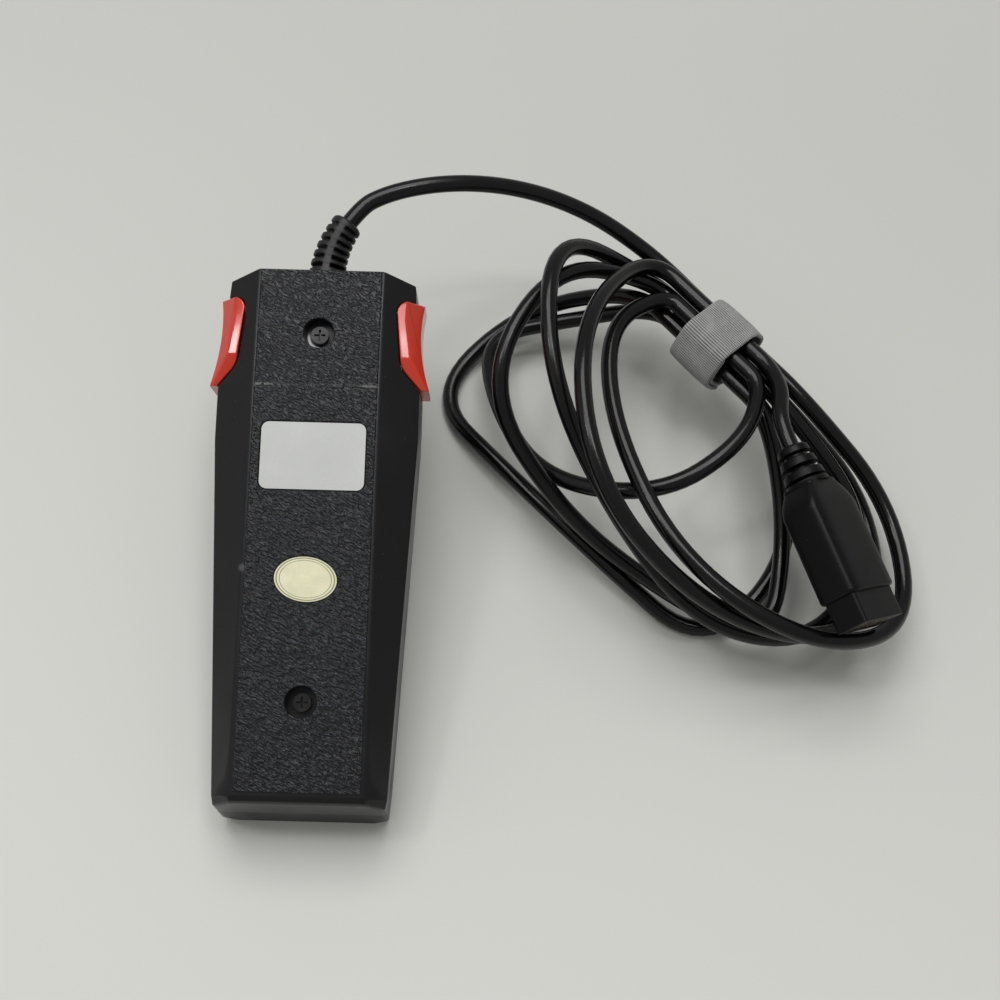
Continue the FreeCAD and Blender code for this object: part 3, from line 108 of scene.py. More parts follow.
class Tree:
    """Short way to add and join the nodes of one shader tree."""

    def __init__(self, tree: bpy.types.NodeTree) -> None:
        """Keep the tree that the nodes go into.

        Args:
            tree: Tree of a material, a world or a group.
        """
        self.tree = tree

    def add(self, kind: str, inputs: dict[str | int, Value] | None = None, **settings) -> bpy.types.Node:
        """Add a node.

        Args:
            kind: Type name of the node without its ShaderNode start.
            inputs: Value, or socket to join, for each input by name or number.
            settings: Settings of the node itself.

        Returns:
            The new node.
        """
        node = self.tree.nodes.new("ShaderNode" + kind)
        for name, value in settings.items():
            setattr(node, name, value)
        for key, value in (inputs or {}).items():
            self.give(node.inputs[key], value)
        return node

    def give(self, socket: bpy.types.NodeSocket, value: Value) -> None:
        """Join a socket to an input, or set the input's value.

        Args:
            socket: The input.
            value: What it gets: a value, or a socket to join.
        """
        if isinstance(value, bpy.types.NodeSocket):
            self.tree.links.new(value, socket)
        else:
            socket.default_value = value

    def group(self, group: bpy.types.NodeTree, inputs: dict[str, Value]) -> bpy.types.Node:
        """Place a node group with its own values."""
        return self.add("Group", inputs, node_tree=group)

    def noise(self, place: Value, scale: Value, detail: float, roughness: float = 0.5
              ) -> bpy.types.NodeSocket:
        """Noise value at a place."""
        inputs = {"Vector": place, "Scale": scale, "Detail": detail, "Roughness": roughness}
        return self.add("TexNoise", inputs).outputs["Fac"]

    def math(self, operation: str, *values: Value) -> bpy.types.NodeSocket:
        """Result of one operation on one to three values."""
        return self.add("Math", dict(enumerate(values)), operation=operation).outputs[0]

    def product(self, *values: Value) -> bpy.types.NodeSocket:
        """Product of two or more values.

        Args:
            values: Values or sockets.

        Returns:
            Socket with the product.
        """
        result = values[0]
        for value in values[1:]:
            result = self.math("MULTIPLY", result, value)
        return result

    def distance(self, first: Value, second: Value) -> bpy.types.NodeSocket:
        """Length of a level vector with two parts."""
        squares = self.math("ADD", self.math("POWER", first, 2.0), self.math("POWER", second, 2.0))
        return self.math("SQRT", squares)

    def off(self, value: Value, middle: float) -> bpy.types.NodeSocket:
        """How far a value is from a middle one."""
        return self.math("ABSOLUTE", self.math("SUBTRACT", value, middle))

    def ramp(self, value: Value, low: float, high: float, to_low: float = 0.0,
             to_high: float = 1.0) -> bpy.types.NodeSocket:
        """Smooth step of a value between two ends."""
        ends = {"Value": value, "From Min": low, "From Max": high, "To Min": to_low, "To Max": to_high}
        return self.add("MapRange", ends, interpolation_type="SMOOTHSTEP").outputs["Result"]

    def split(self, place: Value) -> Sockets:
        """The three parts of a place."""
        return tuple(self.add("SeparateXYZ", {0: place}).outputs)

    def bump(self, shader: bpy.types.Node, height: Value, strength: float, distance: float) -> None:
        """Let a height tilt the shader's normals."""
        node = self.add("Bump", {"Height": height, "Strength": strength, "Distance": distance})
        self.give(shader.inputs["Normal"], node.outputs[0])

    def mix(self, share: Value, first: Value, second: Value) -> bpy.types.NodeSocket:
        """Mix of two colours by a share.

        Args:
            share: Share of the second colour.
            first: Colour at a share of 0.
            second: Colour at a share of 1.

        Returns:
            Colour socket.
        """
        node = self.tree.nodes.new("ShaderNodeMix")
        node.data_type = "RGBA"
        for number, value in ((0, share), (6, first), (7, second)):
            if isinstance(value, tuple) and len(value) == 3:
                value = (*value, 1.0)
            self.give(node.inputs[number], value)
        return node.outputs[2]


class GroupMaker:
    """Node group with named inputs and outputs."""

    def __init__(self, name: str, inputs: dict[str, tuple[str, float | None]],
                 outputs: dict[str, str]) -> None:
        """Make the group's sockets.

        Args:
            name: Name of the group.
            inputs: Kind and first value of each input.
            outputs: Kind of each output.
        """
        self.tree = bpy.data.node_groups.new(name, "ShaderNodeTree")
        new_socket = self.tree.interface.new_socket
        for label, (kind, value) in inputs.items():
            socket = new_socket(name=label, in_out="INPUT", socket_type="NodeSocket" + kind)
            if value is not None:
                socket.default_value = value
        for label, kind in outputs.items():
            new_socket(name=label, in_out="OUTPUT", socket_type="NodeSocket" + kind)
        self.nodes = Tree(self.tree)
        self.inputs = self.tree.nodes.new("NodeGroupInput").outputs
        self.outputs = self.tree.nodes.new("NodeGroupOutput").inputs

    def out(self, **sockets: bpy.types.NodeSocket) -> bpy.types.NodeTree:
        """Join the outputs, whose names have spaces for underscores, and return the tree.

        Args:
            sockets: Socket to join to each output.

        Returns:
            The group's tree.
        """
        for label, socket in sockets.items():
            self.nodes.give(self.outputs[label.replace("_", " ")], socket)
        return self.tree


@dataclass
class SharedEffects:
    """Node groups that several finishes use."""

    skin: bpy.types.NodeTree = field(init=False)
    leather: bpy.types.NodeTree = field(init=False)
    weave: bpy.types.NodeTree = field(init=False)
    dust: bpy.types.NodeTree = field(init=False)

    def __post_init__(self) -> None:
        """Build each group once."""
        self.skin = self._skin()
        self.leather = self._leather()
        self.weave = self._weave()
        self.dust = self._dust()

    def _skin(self) -> bpy.types.NodeTree:
        """Fine skin of moulded parts: soft tone and gloss changes and a small height.

        Returns:
            Group with the outputs Tone, Gloss and Height.
        """
        maker = GroupMaker("moulded_skin", {
            "Vector": ("Vector", None), "Size": ("Float", 2000.0), "Patch": ("Float", 60.0),
        }, {"Tone": "Float", "Gloss": "Float", "Height": "Float"})
        nodes = maker.nodes
        fine = nodes.noise(maker.inputs["Vector"], maker.inputs["Size"], 3.0)
        broad = nodes.noise(maker.inputs["Vector"], maker.inputs["Patch"], 4.0)
        tone = nodes.math("MULTIPLY_ADD", broad, 0.7, nodes.math("MULTIPLY", fine, 0.3))
        return maker.out(Tone=tone, Gloss=broad, Height=fine)

    def _leather(self) -> bpy.types.NodeTree:
        """Wavy ridges that run down to the right, with finer wrinkles between them.

        Returns:
            Group with the outputs Height and Ridge.
        """
        maker = GroupMaker("wrinkled_grain", {"Vector": ("Vector", None), "Ridges": ("Float", 1750.0)},
                           {"Height": "Float", "Ridge": "Float"})
        nodes = maker.nodes
        drift = nodes.add("TexNoise", {"Vector": maker.inputs["Vector"], "Scale": 420.0, "Detail": 1.0})
        moved = nodes.add("VectorMath", {0: drift.outputs["Color"], 3: 0.0008}, operation="SCALE")
        place = nodes.add("VectorMath", {0: maker.inputs["Vector"], 1: moved.outputs[0]}, operation="ADD")
        ridge_turn = math.radians(32.0)
        along = nodes.add("Mapping", {"Vector": place.outputs[0], "Rotation": (0.0, 0.0, ridge_turn)})
        drawn = nodes.add("Mapping", {"Vector": along.outputs[0], "Scale": (0.3, 1.0, 1.0)}).outputs[0]
        ridge = nodes.ramp(nodes.noise(drawn, maker.inputs["Ridges"], 1.5), 0.34, 0.66)
        height = nodes.math("MULTIPLY_ADD", nodes.noise(drawn, 3600.0, 2.0), 0.3, ridge)
        return maker.out(Height=height, Ridge=ridge)

    def _weave(self) -> bpy.types.NodeTree:
        """Woven tape: threads over and under each other on the piece's own map, with a loose pile.

        Returns:
            Group with the outputs Height, Tone and Fuzz.
        """
        maker = GroupMaker("woven_tape", {"Vector": ("Vector", None), "Threads": ("Float", 2000.0)},
                           {"Height": "Float", "Tone": "Float", "Fuzz": "Float"})
        nodes = maker.nodes
        u, v, _ = nodes.split(maker.inputs["Vector"])
        turns = nodes.math("MULTIPLY", maker.inputs["Threads"], math.pi)
        along = nodes.math("SINE", nodes.math("MULTIPLY", u, turns))
        across = nodes.math("SINE", nodes.math("MULTIPLY", v, turns))
        ribs = nodes.ramp(nodes.math("ABSOLUTE", along), 0.1, 0.8)
        cross = nodes.ramp(nodes.math("ABSOLUTE", nodes.math("MULTIPLY", along, across)), 0.0, 0.8)
        thread = nodes.math("MULTIPLY_ADD", cross, 0.55, nodes.math("MULTIPLY", ribs, 0.45))
        pile = nodes.noise(maker.inputs["Vector"], 2600.0, 6.0, 0.8)
        height = nodes.math("MULTIPLY_ADD", pile, 0.9, thread)
        return maker.out(Height=height, Tone=thread, Fuzz=nodes.noise(maker.inputs["Vector"], 260.0, 3.0))

    def _dust(self) -> bpy.types.NodeTree:
        """Sparse pale specks and faint rubbed patches.

        Returns:
            Group with the outputs Speck and Rub.
        """
        maker = GroupMaker("light_dust", {"Vector": ("Vector", None), "Specks": ("Float", 900.0)},
                           {"Speck": "Float", "Rub": "Float"})
        nodes = maker.nodes
        spots = nodes.add("TexVoronoi", {"Vector": maker.inputs["Vector"], "Scale": maker.inputs["Specks"]})
        near_spot = nodes.ramp(spots.outputs["Distance"], 0.06, 0.1, 1.0, 0.0)
        kept = nodes.ramp(nodes.add("SeparateColor", {0: spots.outputs["Color"]}).outputs[0], 0.93, 0.96)
        rub = nodes.ramp(nodes.noise(maker.inputs["Vector"], 45.0, 8.0, 0.7), 0.52, 0.75)
        return maker.out(Speck=nodes.math("MULTIPLY", near_spot, kept), Rub=rub)


def new_material(name: str) -> tuple[bpy.types.Material, Tree, bpy.types.Node]:
    """Start a material.

    Args:
        name: Name of the material.

    Returns:
        The material, its tree and its Principled shader.
    """
    material = bpy.data.materials.new(name)
    material.use_nodes = True
    return material, Tree(material.node_tree), material.node_tree.nodes["Principled BSDF"]


class Finish(Protocol):
    """What gives a piece its material."""

    def material(self, effects: SharedEffects) -> bpy.types.Material:
        """Build the finish's material."""


def object_place(nodes: Tree) -> bpy.types.NodeSocket:
    """Object coordinates, which are row frame metres on every piece."""
    return nodes.add("TexCoord").outputs["Object"]


def case_frame(nodes: Tree) -> bpy.types.NodeSocket:
    """Object coordinates turned into the case's own frame, in metres.

    Args:
        nodes: Tree of the material.

    Returns:
        Vector socket with the place in the case's frame.
    """
    turned = CASE_PLACE.matrix().inverted()
    mapping = nodes.add("Mapping", {"Vector": object_place(nodes), "Location": turned.to_translation(),
                                    "Rotation": turned.to_euler("XYZ")})
    return mapping.outputs[0]


@dataclass(frozen=True)
class MouldedFinish:
    """Moulded plastic or rubber with a fine skin."""

    name: str
    colour: Colour
    pale: Colour
    roughness: float = 0.45
    gloss_change: float = 0.12
    size: float = 2200.0
    depth: float = 0.00003
    coat: float = 0.0
    specular: float = 0.5
    specks: float = 0.25

    def material(self, effects: SharedEffects) -> bpy.types.Material:
        """Build the finish's material.

        Args:
            effects: Shared node groups.

        Returns:
            The material.
        """
        material, nodes, shader = new_material(self.name)
        place = object_place(nodes)
        skin = nodes.group(effects.skin, {"Vector": place, "Size": self.size})
        dust = nodes.group(effects.dust, {"Vector": place})
        tone = nodes.mix(nodes.ramp(skin.outputs["Tone"], 0.35, 0.7), self.colour, self.pale)
        speck = nodes.math("MULTIPLY", dust.outputs["Speck"], self.specks)
        nodes.give(shader.inputs["Base Color"], nodes.mix(speck, tone, SPECK_COLOUR))
        glossy, dull = self.roughness - self.gloss_change / 2, self.roughness + self.gloss_change / 2
        rough = nodes.ramp(skin.outputs["Gloss"], 0.3, 0.7, glossy, dull)
        nodes.give(shader.inputs["Roughness"], nodes.math("MULTIPLY_ADD", dust.outputs["Rub"], 0.06, rough))
        nodes.bump(shader, skin.outputs["Height"], 0.6, self.depth)
        shader.inputs["Coat Weight"].default_value = self.coat
        shader.inputs["Coat Roughness"].default_value = 0.08
        shader.inputs["Specular IOR Level"].default_value = self.specular
        return material


@dataclass(frozen=True)
class MetalFinish:
    """Plain or blackened metal with fine turning marks."""

    name: str
    colour: Colour
    roughness: float = 0.35
    metallic: float = 1.0

    def material(self, effects: SharedEffects) -> bpy.types.Material:
        """Build the finish's material.

        Args:
            effects: Shared node groups.

        Returns:
            The material.
        """
        material, nodes, shader = new_material(self.name)
        place = object_place(nodes)
        skin = nodes.group(effects.skin, {"Vector": place, "Size": 3500.0, "Patch": 300.0})
        darker = tuple(part * 0.7 for part in self.colour)
        nodes.give(shader.inputs["Base Color"], nodes.mix(skin.outputs["Tone"], darker, self.colour))
        rough = nodes.ramp(skin.outputs["Gloss"], 0.2, 0.8, self.roughness - 0.1, self.roughness + 0.12)
        nodes.give(shader.inputs["Roughness"], rough)
        nodes.bump(shader, skin.outputs["Height"], 0.4, 0.00002)
        shader.inputs["Metallic"].default_value = self.metallic
        return material


@dataclass(frozen=True)
class RearShellFinish:
    """Black back: wrinkled grain on the flat band, smooth satin on the bevels and sides."""

    colour: Colour = (0.0038, 0.0038, 0.0043)
    # Paler, bluish colour on the grain's ridge tops: a painted highlight of the lamps above the band.
    band_ridge_highlight: Colour = (0.0095, 0.0110, 0.0150)
    smooth_pale: Colour = (0.0058, 0.0058, 0.0064)
    # Pale colour of the dashes along the band's fold: a painted highlight.
    crease_highlight: Colour = (0.16, 0.16, 0.16)
    worn: Colour = (0.22, 0.22, 0.22)
    # Pale colour of the crescent in the upper screw's well: a painted highlight.
    well_rim_highlight: Colour = (0.85, 0.85, 0.85)
    band_half_mm: float = 15.7
    band_start_mm: float = 2.6
    crease_mm: float = 106.4
    scuff_mm: tuple[float, float] = (-16.6, 58.4)
    well_mm: float = 120.6
    ring_mm: float = 3.1
    grain_depth_mm: float = 0.26
    band_roughness: float = 0.3
    specular: float = 0.33

    def band_mask(self, nodes: Tree, place: Sockets) -> bpy.types.NodeSocket:
        """Mask of the grained band.

        Args:
            nodes: Tree of the material.
            place: Place in the case's frame, as three values.

        Returns:
            One on the band and zero elsewhere.
        """
        x, y, z = place
        half, start = self.band_half_mm * MM, self.band_start_mm * MM
        across = nodes.ramp(nodes.math("ABSOLUTE", x), half, half + 0.0004, 1.0, 0.0)
        above = nodes.ramp(z, -0.0022, -0.0018)
        return nodes.product(across, above, nodes.ramp(y, start - 0.0002, start + 0.0002))

    def crease_highlight_mask(self, nodes: Tree, place: Sockets) -> bpy.types.NodeSocket:
        """Mask of the painted highlight where the band folds: pale dashes near its two edges, where the
        rounded fold catches the light.

        Args:
            nodes: Tree of the material.
            place: Place in the case's frame.

        Returns:
            Socket with the mask.
        """
        x, y, _ = place
        line = nodes.ramp(nodes.off(y, self.crease_mm * MM), 0.00015, 0.00045, 1.0, 0.0)
        edges = nodes.ramp(nodes.math("ABSOLUTE", x), 0.0105, 0.0125, 0.12, 1.0)
        flat = nodes.add("CombineXYZ", {0: x}).outputs[0]
        return nodes.product(line, edges, nodes.ramp(nodes.noise(flat, 900.0, 2.0), 0.36, 0.5))

    def scuff(self, nodes: Tree, place: Sockets, rub: bpy.types.NodeSocket) -> bpy.types.NodeSocket:
        """Mask of a small worn spot on the left edge of the band.

        Args:
            nodes: Tree of the material.
            place: Place in the case's frame.
            rub: Socket that breaks up the spot's edge.

        Returns:
            Socket with the mask.
        """
        aside = nodes.math("SUBTRACT", place[0], self.scuff_mm[0] * MM)
        along = nodes.math("SUBTRACT", place[1], self.scuff_mm[1] * MM)
        spot = nodes.ramp(nodes.distance(aside, along), 0.0003, 0.0014, 0.7, 0.0)
        return nodes.math("MULTIPLY", spot, nodes.math("MULTIPLY_ADD", rub, 0.6, 0.4))

    def lit_crescent_mask(self, nodes: Tree, place: Sockets) -> bpy.types.NodeSocket:
        """Mask of the painted highlight: a pale, lit crescent on the floor of the upper screw's well.

        Args:
            nodes: Tree of the material.
            place: Place in the case's frame.

        Returns:
            Socket with the mask.
        """
        x, y, z = place
        along = nodes.math("SUBTRACT", y, self.well_mm * MM)
        ring = nodes.ramp(nodes.off(nodes.distance(x, along), self.ring_mm * MM), 0.0002, 0.0005, 1.0, 0.0)
        lower_left = nodes.ramp(nodes.math("MULTIPLY_ADD", x, 0.55, along), -0.0022, -0.0002, 1.0, 0.0)
        on_floor = nodes.ramp(z, -0.0051, -0.0045, 1.0, 0.0)
        return nodes.product(ring, lower_left, on_floor, nodes.ramp(z, -0.0056, -0.0052))

    def material(self, effects: SharedEffects) -> bpy.types.Material:
        """Build the finish's material.

        Args:
            effects: Shared node groups.

        Returns:
            The material.
        """
        material, nodes, shader = new_material("rear_shell_black")
        place = case_frame(nodes)
        parts = nodes.split(place)
        band = self.band_mask(nodes, parts)
        grain = nodes.group(effects.leather, {"Vector": place})
        skin = nodes.group(effects.skin, {"Vector": place, "Size": 2500.0})
        dust = nodes.group(effects.dust, {"Vector": place})
        # Ridge tops of the grain are mixed towards the paler, bluish colour: painted highlight.
        grain_highlight_tone = nodes.mix(grain.outputs["Ridge"], self.colour, self.band_ridge_highlight)
        tone = nodes.mix(band, nodes.mix(skin.outputs["Tone"], self.colour, self.smooth_pale), grain_highlight_tone)
        # Pale dashes along the fold: painted highlight.
        crease_highlight_share = nodes.product(self.crease_highlight_mask(nodes, parts), band, 0.8)
        tone = nodes.mix(crease_highlight_share, tone, self.crease_highlight)
        tone = nodes.mix(self.scuff(nodes, parts, dust.outputs["Rub"]), tone, self.worn)
        # Pale crescent in the upper well: painted highlight.
        tone = nodes.mix(self.lit_crescent_mask(nodes, parts), tone, self.well_rim_highlight)
        tone = nodes.mix(nodes.math("MULTIPLY", dust.outputs["Speck"], 0.35), tone, SPECK_COLOUR)
        nodes.give(shader.inputs["Base Color"], tone)
        smooth = nodes.ramp(skin.outputs["Gloss"], 0.3, 0.7, 0.27, 0.37)
        rough = nodes.math("MULTIPLY_ADD", band, nodes.math("SUBTRACT", self.band_roughness, smooth), smooth)
        nodes.give(shader.inputs["Roughness"], rough)
        shader.inputs["Specular IOR Level"].default_value = self.specular
        grained_height = nodes.math("MULTIPLY", grain.outputs["Height"], band)
        height = nodes.math("MULTIPLY_ADD", skin.outputs["Height"], 0.06, grained_height)
        nodes.bump(shader, height, 1.0, self.grain_depth_mm * MM)
        return material


@dataclass(frozen=True)
class StrapFinish:
    """Light grey woven hook-and-loop tape."""

    colour: Colour = (0.46, 0.465, 0.45)
    shade: Colour = (0.05, 0.05, 0.048)

    def material(self, effects: SharedEffects) -> bpy.types.Material:
        """Build the finish's material.

        Args:
            effects: Shared node groups.

        Returns:
            The material.
        """
        material, nodes, shader = new_material("strap_grey")
        place = nodes.add("TexCoord").outputs["UV"]
        weave = nodes.group(effects.weave, {"Vector": place})
        tone = nodes.mix(weave.outputs["Tone"], self.shade, self.colour)
        tone = nodes.mix(nodes.ramp(weave.outputs["Fuzz"], 0.45, 0.75, 0.0, 0.45), tone, self.colour)
        nodes.give(shader.inputs["Base Color"], tone)
        nodes.bump(shader, weave.outputs["Height"], 1.0, 0.0003)
        shader.inputs["Roughness"].default_value = 0.85
        shader.inputs["Sheen Weight"].default_value = 0.3
        return material


@dataclass(frozen=True)
class StickerFinish:
    """Cream paper with a plain double ring round its edge."""

    centre_mm: tuple[float, float] = (-0.3, 55.8)
    half_width_mm: float = 8.0
    half_height_mm: float = 5.75
    turn_degrees: float = -5.0
    paper: Colour = (0.80, 0.78, 0.53)
    ink: Colour = (0.10, 0.09, 0.05)
    outer_ring: float = 0.93
    inner_ring: float = 0.83

    def material(self, effects: SharedEffects) -> bpy.types.Material:
        """Build the finish's material.

        Args:
            effects: Shared node groups.

        Returns:
            The material.
        """
        material, nodes, shader = new_material("sticker_cream")
        place = case_frame(nodes)
        centre = nodes.add("Mapping", {
            "Vector": place, "Location": (self.centre_mm[0] * MM, self.centre_mm[1] * MM, 0.0),
            "Rotation": (0.0, 0.0, math.radians(self.turn_degrees)),
            "Scale": (self.half_width_mm * MM, self.half_height_mm * MM, 1.0)}, vector_type="TEXTURE")
        x, y, _ = nodes.split(centre.outputs[0])
        reach = nodes.distance(x, y)
        outer = nodes.ramp(nodes.off(reach, self.outer_ring), 0.012, 0.028, 1.0, 0.0)
        inner = nodes.ramp(nodes.off(reach, self.inner_ring), 0.006, 0.018, 1.0, 0.0)
        ring = nodes.math("MAXIMUM", outer, inner)
        skin = nodes.group(effects.skin, {"Vector": place, "Size": 1800.0, "Patch": 220.0})
        darker = tuple(part * 0.86 for part in self.paper)
        paper = nodes.mix(nodes.ramp(skin.outputs["Tone"], 0.3, 0.7), darker, self.paper)
        nodes.give(shader.inputs["Base Color"], nodes.mix(nodes.math("MULTIPLY", ring, 0.8), paper, self.ink))
        shader.inputs["Roughness"].default_value = 0.5
        return material


@dataclass
class Dresser:
    """Gives CAD nodes and new pieces their finishes."""

    frame: dict
    effects: SharedEffects = field(default_factory=SharedEffects)

    def dress(self, finish: Finish, *nodes: str) -> bpy.types.Material:
        """Put one finish on CAD nodes.

        Args:
            finish: Finish with a material method.
            nodes: Names of the nodes.

        Returns:
            The finish's material.
        """
        material = finish.material(self.effects)
        self.put(material, *nodes)
        return material

    def put(self, material: bpy.types.Material, *nodes: str) -> None:
        """Put a finished material on CAD nodes.

        Args:
            material: Finished material.
            nodes: Names of the CAD nodes.
        """
        for name in nodes:
            for slot in self.frame["nodes"][name].material_slots:
                slot.link = "OBJECT"
                slot.material = material
        LOG.info("dressed %s in %s", ", ".join(nodes), material.name)


@dataclass(frozen=True)
class Loop:
    """One loop of the hank: an oval with an egg and a bow term and three heights."""

    half_length: float
    half_width: float
    turn: float
    lean: float
    egg: float
    bow: float
    heights: tuple[float, float, float]

    def spot(self, share: float, start: Vector, end: Vector) -> tuple[Vector, Vector]:
        """Level place and heading of the loop at one share of its turn.

        Args:
            share: Share of the turn, from 0 to 1.
            start: Where the loop leaves the strap.
            end: Where it comes back.

        Returns:
            The place and its heading, both level.
        """
        lean = math.radians(self.lean)
        along = Vector((math.cos(lean), math.sin(lean), 0.0))
        aside = Vector((along.y, -along.x, 0.0))
        first = math.radians(self.turn)

        def oval(angle: float) -> Vector:
            """Point of the oval at one angle."""
            wide = (self.half_width * math.sin(angle) + self.egg * math.sin(2 * angle)
                    + self.bow * math.cos(2 * angle))
            return along * (self.half_length * math.cos(angle)) + aside * wide

        phase = first + 2 * math.pi * share
        place = start * (1 - share) + end * share + oval(phase) - oval(first)
        widening = (self.half_width * math.cos(phase) + 2 * self.egg * math.cos(2 * phase)
                    - 2 * self.bow * math.sin(2 * phase))
        rate = along * (-self.half_length * math.sin(phase)) + aside * widening
        rate = rate * (2 * math.pi) + (end - start)
        return Vector((place.x, place.y, 0.0)), Vector((rate.x, rate.y, 0.0)).normalized()


@dataclass
class Cord:
    """The cord from the case to the plug, with its hank, in millimetres of the row frame."""

    radius: float = 2.32
    length: float = 1896.0
    tie: Vector = field(default_factory=lambda: Vector((109.41, 63.48, 27.95)))
    tie_heading: float = -48.0
    strand_pitch: float = 5.6
    strand_half: float = 9.0
    passages: tuple[int, ...] = (1, 3, 5, 4, 0, 6, 2)
    loops: tuple[Loop, ...] = (
        Loop(56.5, 28.5, 51.5, 124.6, -3.7, 1.6, (12.7, 33.6, 37.0)),
        Loop(38.9, 27.4, 116.9, 150.9, -2.2, 4.0, (34.2, 17.5, 10.9)),
        Loop(55.7, 30.2, 89.0, 134.0, 0.3, -4.2, (3.1, 7.3, 3.5)),
        Loop(50.1, 29.3, 71.3, 129.1, 5.9, -1.4, (12.8, 10.8, 47.7)),
        Loop(56.1, 32.3, 67.7, 131.1, -4.3, -3.3, (9.8, 20.8, 53.6)),
        Loop(48.7, 36.8, 46.3, 132.7, 1.9, -0.1, (4.1, 23.9, 55.0)),
    )
    lead: tuple[tuple[float, float, float], ...] = (
        (14.0, 90.48, 55.8), (21.0, 93.18, 55.9), (29.5, 95.68, 55.1), (39.5, 97.98, 52.9),
        (50.7, 99.78, 48.9), (62.8, 99.88, 43.9), (75.3, 97.58, 38.2), (87.5, 92.18, 32.4),
        (96.0, 86.18, 29.2),
    )
    tail: tuple[tuple[float, float, float], ...] = (
        (123.4, 50.18, 33.8), (124.6, 43.58, 35.7), (123.4, 36.68, 37.3),
    )
    tie_half: float = 3.0
    tie_lead: float = 8.0
    tie_exit: float = 5.0
    rise_share: float = 1.15
    inside_relief: float = 3.0
    past_relief: float = 6.0
    before_plug: float = 5.0

    @property
    def axis(self) -> Vector:
        """Direction of the strands in the strap."""
        heading = math.radians(self.tie_heading)
        return Vector((math.cos(heading), math.sin(heading), 0.0))

    @property
    def across(self) -> Vector:
        """Level direction across the strands."""
        return Vector((-self.axis.y, self.axis.x, 0.0))

    def passage(self, number: int) -> Vector:
        """Place of one passage through the strap: 0 in the middle and six round it.

        Args:
            number: 0 for the middle, 1 to 6 for those round it.

        Returns:
            The place in millimetres of the row frame.
        """
        if number == 0:
            return self.tie.copy()
        angle = math.radians(60 * (number - 1))
        away = self.across * math.cos(angle) + Vector((0.0, 0.0, math.sin(angle)))
        return self.tie + away * self.strand_pitch

    def loop_points(self, loop: Loop, start: Vector, end: Vector) -> list[Vector]:
        """Control points of one loop between two passages.

        Args:
            loop: The loop.
            start: Middle of the strap where it leaves.
            end: Middle of the strap where it comes back.

        Returns:
            Two control points for each of its four bends.
        """
        spots = [(start + self.axis * self.strand_half, self.axis)]
        for share, height in zip((0.25, 0.5, 0.75), loop.heights):
            place, heading = loop.spot(share, start, end)
            spots.append((Vector((place.x, place.y, height)), heading))
        spots.append((end - self.axis * self.strand_half, self.axis))
        for number in (1, 2, 3):
            place, heading = spots[number]
            before, after = spots[number - 1][0], spots[number + 1][0]
            level = (after - place).xy.length + (place - before).xy.length
            climb = (after.z - before.z) / (self.rise_share * level)
            spots[number] = (place, Vector((heading.x, heading.y, climb)).normalized())
        points = []
        for (place, heading), (next_place, next_heading) in zip(spots, spots[1:]):
            chord = next_place - place
            spread = 2 * (1 - heading.dot(next_heading))
            share = chord.dot(heading + next_heading)
            reach = (-share + math.sqrt(share * share + spread * chord.length_squared)) / spread
            points += [place + heading * reach, next_place - next_heading * reach]
        return points

    def control_points(self, relief: "StrainRelief", plug: "Plug") -> list[Vector]:
        """Control points of the whole cord in millimetres.

        Args:
            relief: Relief that the cord leaves the case through.
            plug: Plug at the cord's end.

        Returns:
            The points in order along the cord.
        """
        tip, heading = relief.tip()
        stops = [self.passage(number) for number in self.passages]
        first, last = stops[0], stops[-1]
        run = self.axis * self.strand_half
        held = self.axis * self.tie_half
        points = [tip - heading * self.inside_relief, tip + heading * self.past_relief]
        points += [Vector(point) for point in self.lead]
        points += [first - run - self.axis * self.tie_lead, first - run]
        for loop, start, end in zip(self.loops, stops, stops[1:]):
            points += [start - held, start + held, start + run]
            points += self.loop_points(loop, start, end)
            points.append(end - run)
        points += [last - held, last + held, last + run, last + run + self.axis * self.tie_exit]
        points += [Vector(point) for point in self.tail]
        return [*points, plug.cord_end - plug.axis * self.before_plug, plug.cord_end]

    def build(self, dresser: Dresser, relief: "StrainRelief", plug: "Plug") -> bpy.types.Object:
        """Make the cord's curve.

        Args:
            dresser: What puts finishes on pieces.
            relief: Relief at the case.
            plug: Plug at the cord's end.

        Returns:
            The cord's object.
        """
        curve = bpy.data.curves.new("cord", "CURVE")
        curve.dimensions = "3D"
        spline = curve.splines.new("NURBS")
        points = self.control_points(relief, plug)
        spline.points.add(len(points) - 1)
        for target, point in zip(spline.points, points):
            target.co = (*(point * MM), 1.0)
        spline.order_u = 3
        spline.use_endpoint_u = True
        spline.resolution_u = 10
        curve.bevel_depth = self.radius * MM
        curve.bevel_resolution = 6
        curve.use_fill_caps = True
        cord = placed("cord", curve)
        sheath = MouldedFinish("cord_sheath", (0.0022, 0.0022, 0.0024), (0.0038, 0.0038, 0.0041),
                               roughness=0.2, gloss_change=0.06, specular=0.32, size=900.0, depth=0.00004,
                               specks=0.15)
        curve.materials.append(sheath.material(dresser.effects))
        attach(cord, Body.CASE.value)
        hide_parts("cord_lead", "cord_coil", "cord_tail")
        return cord


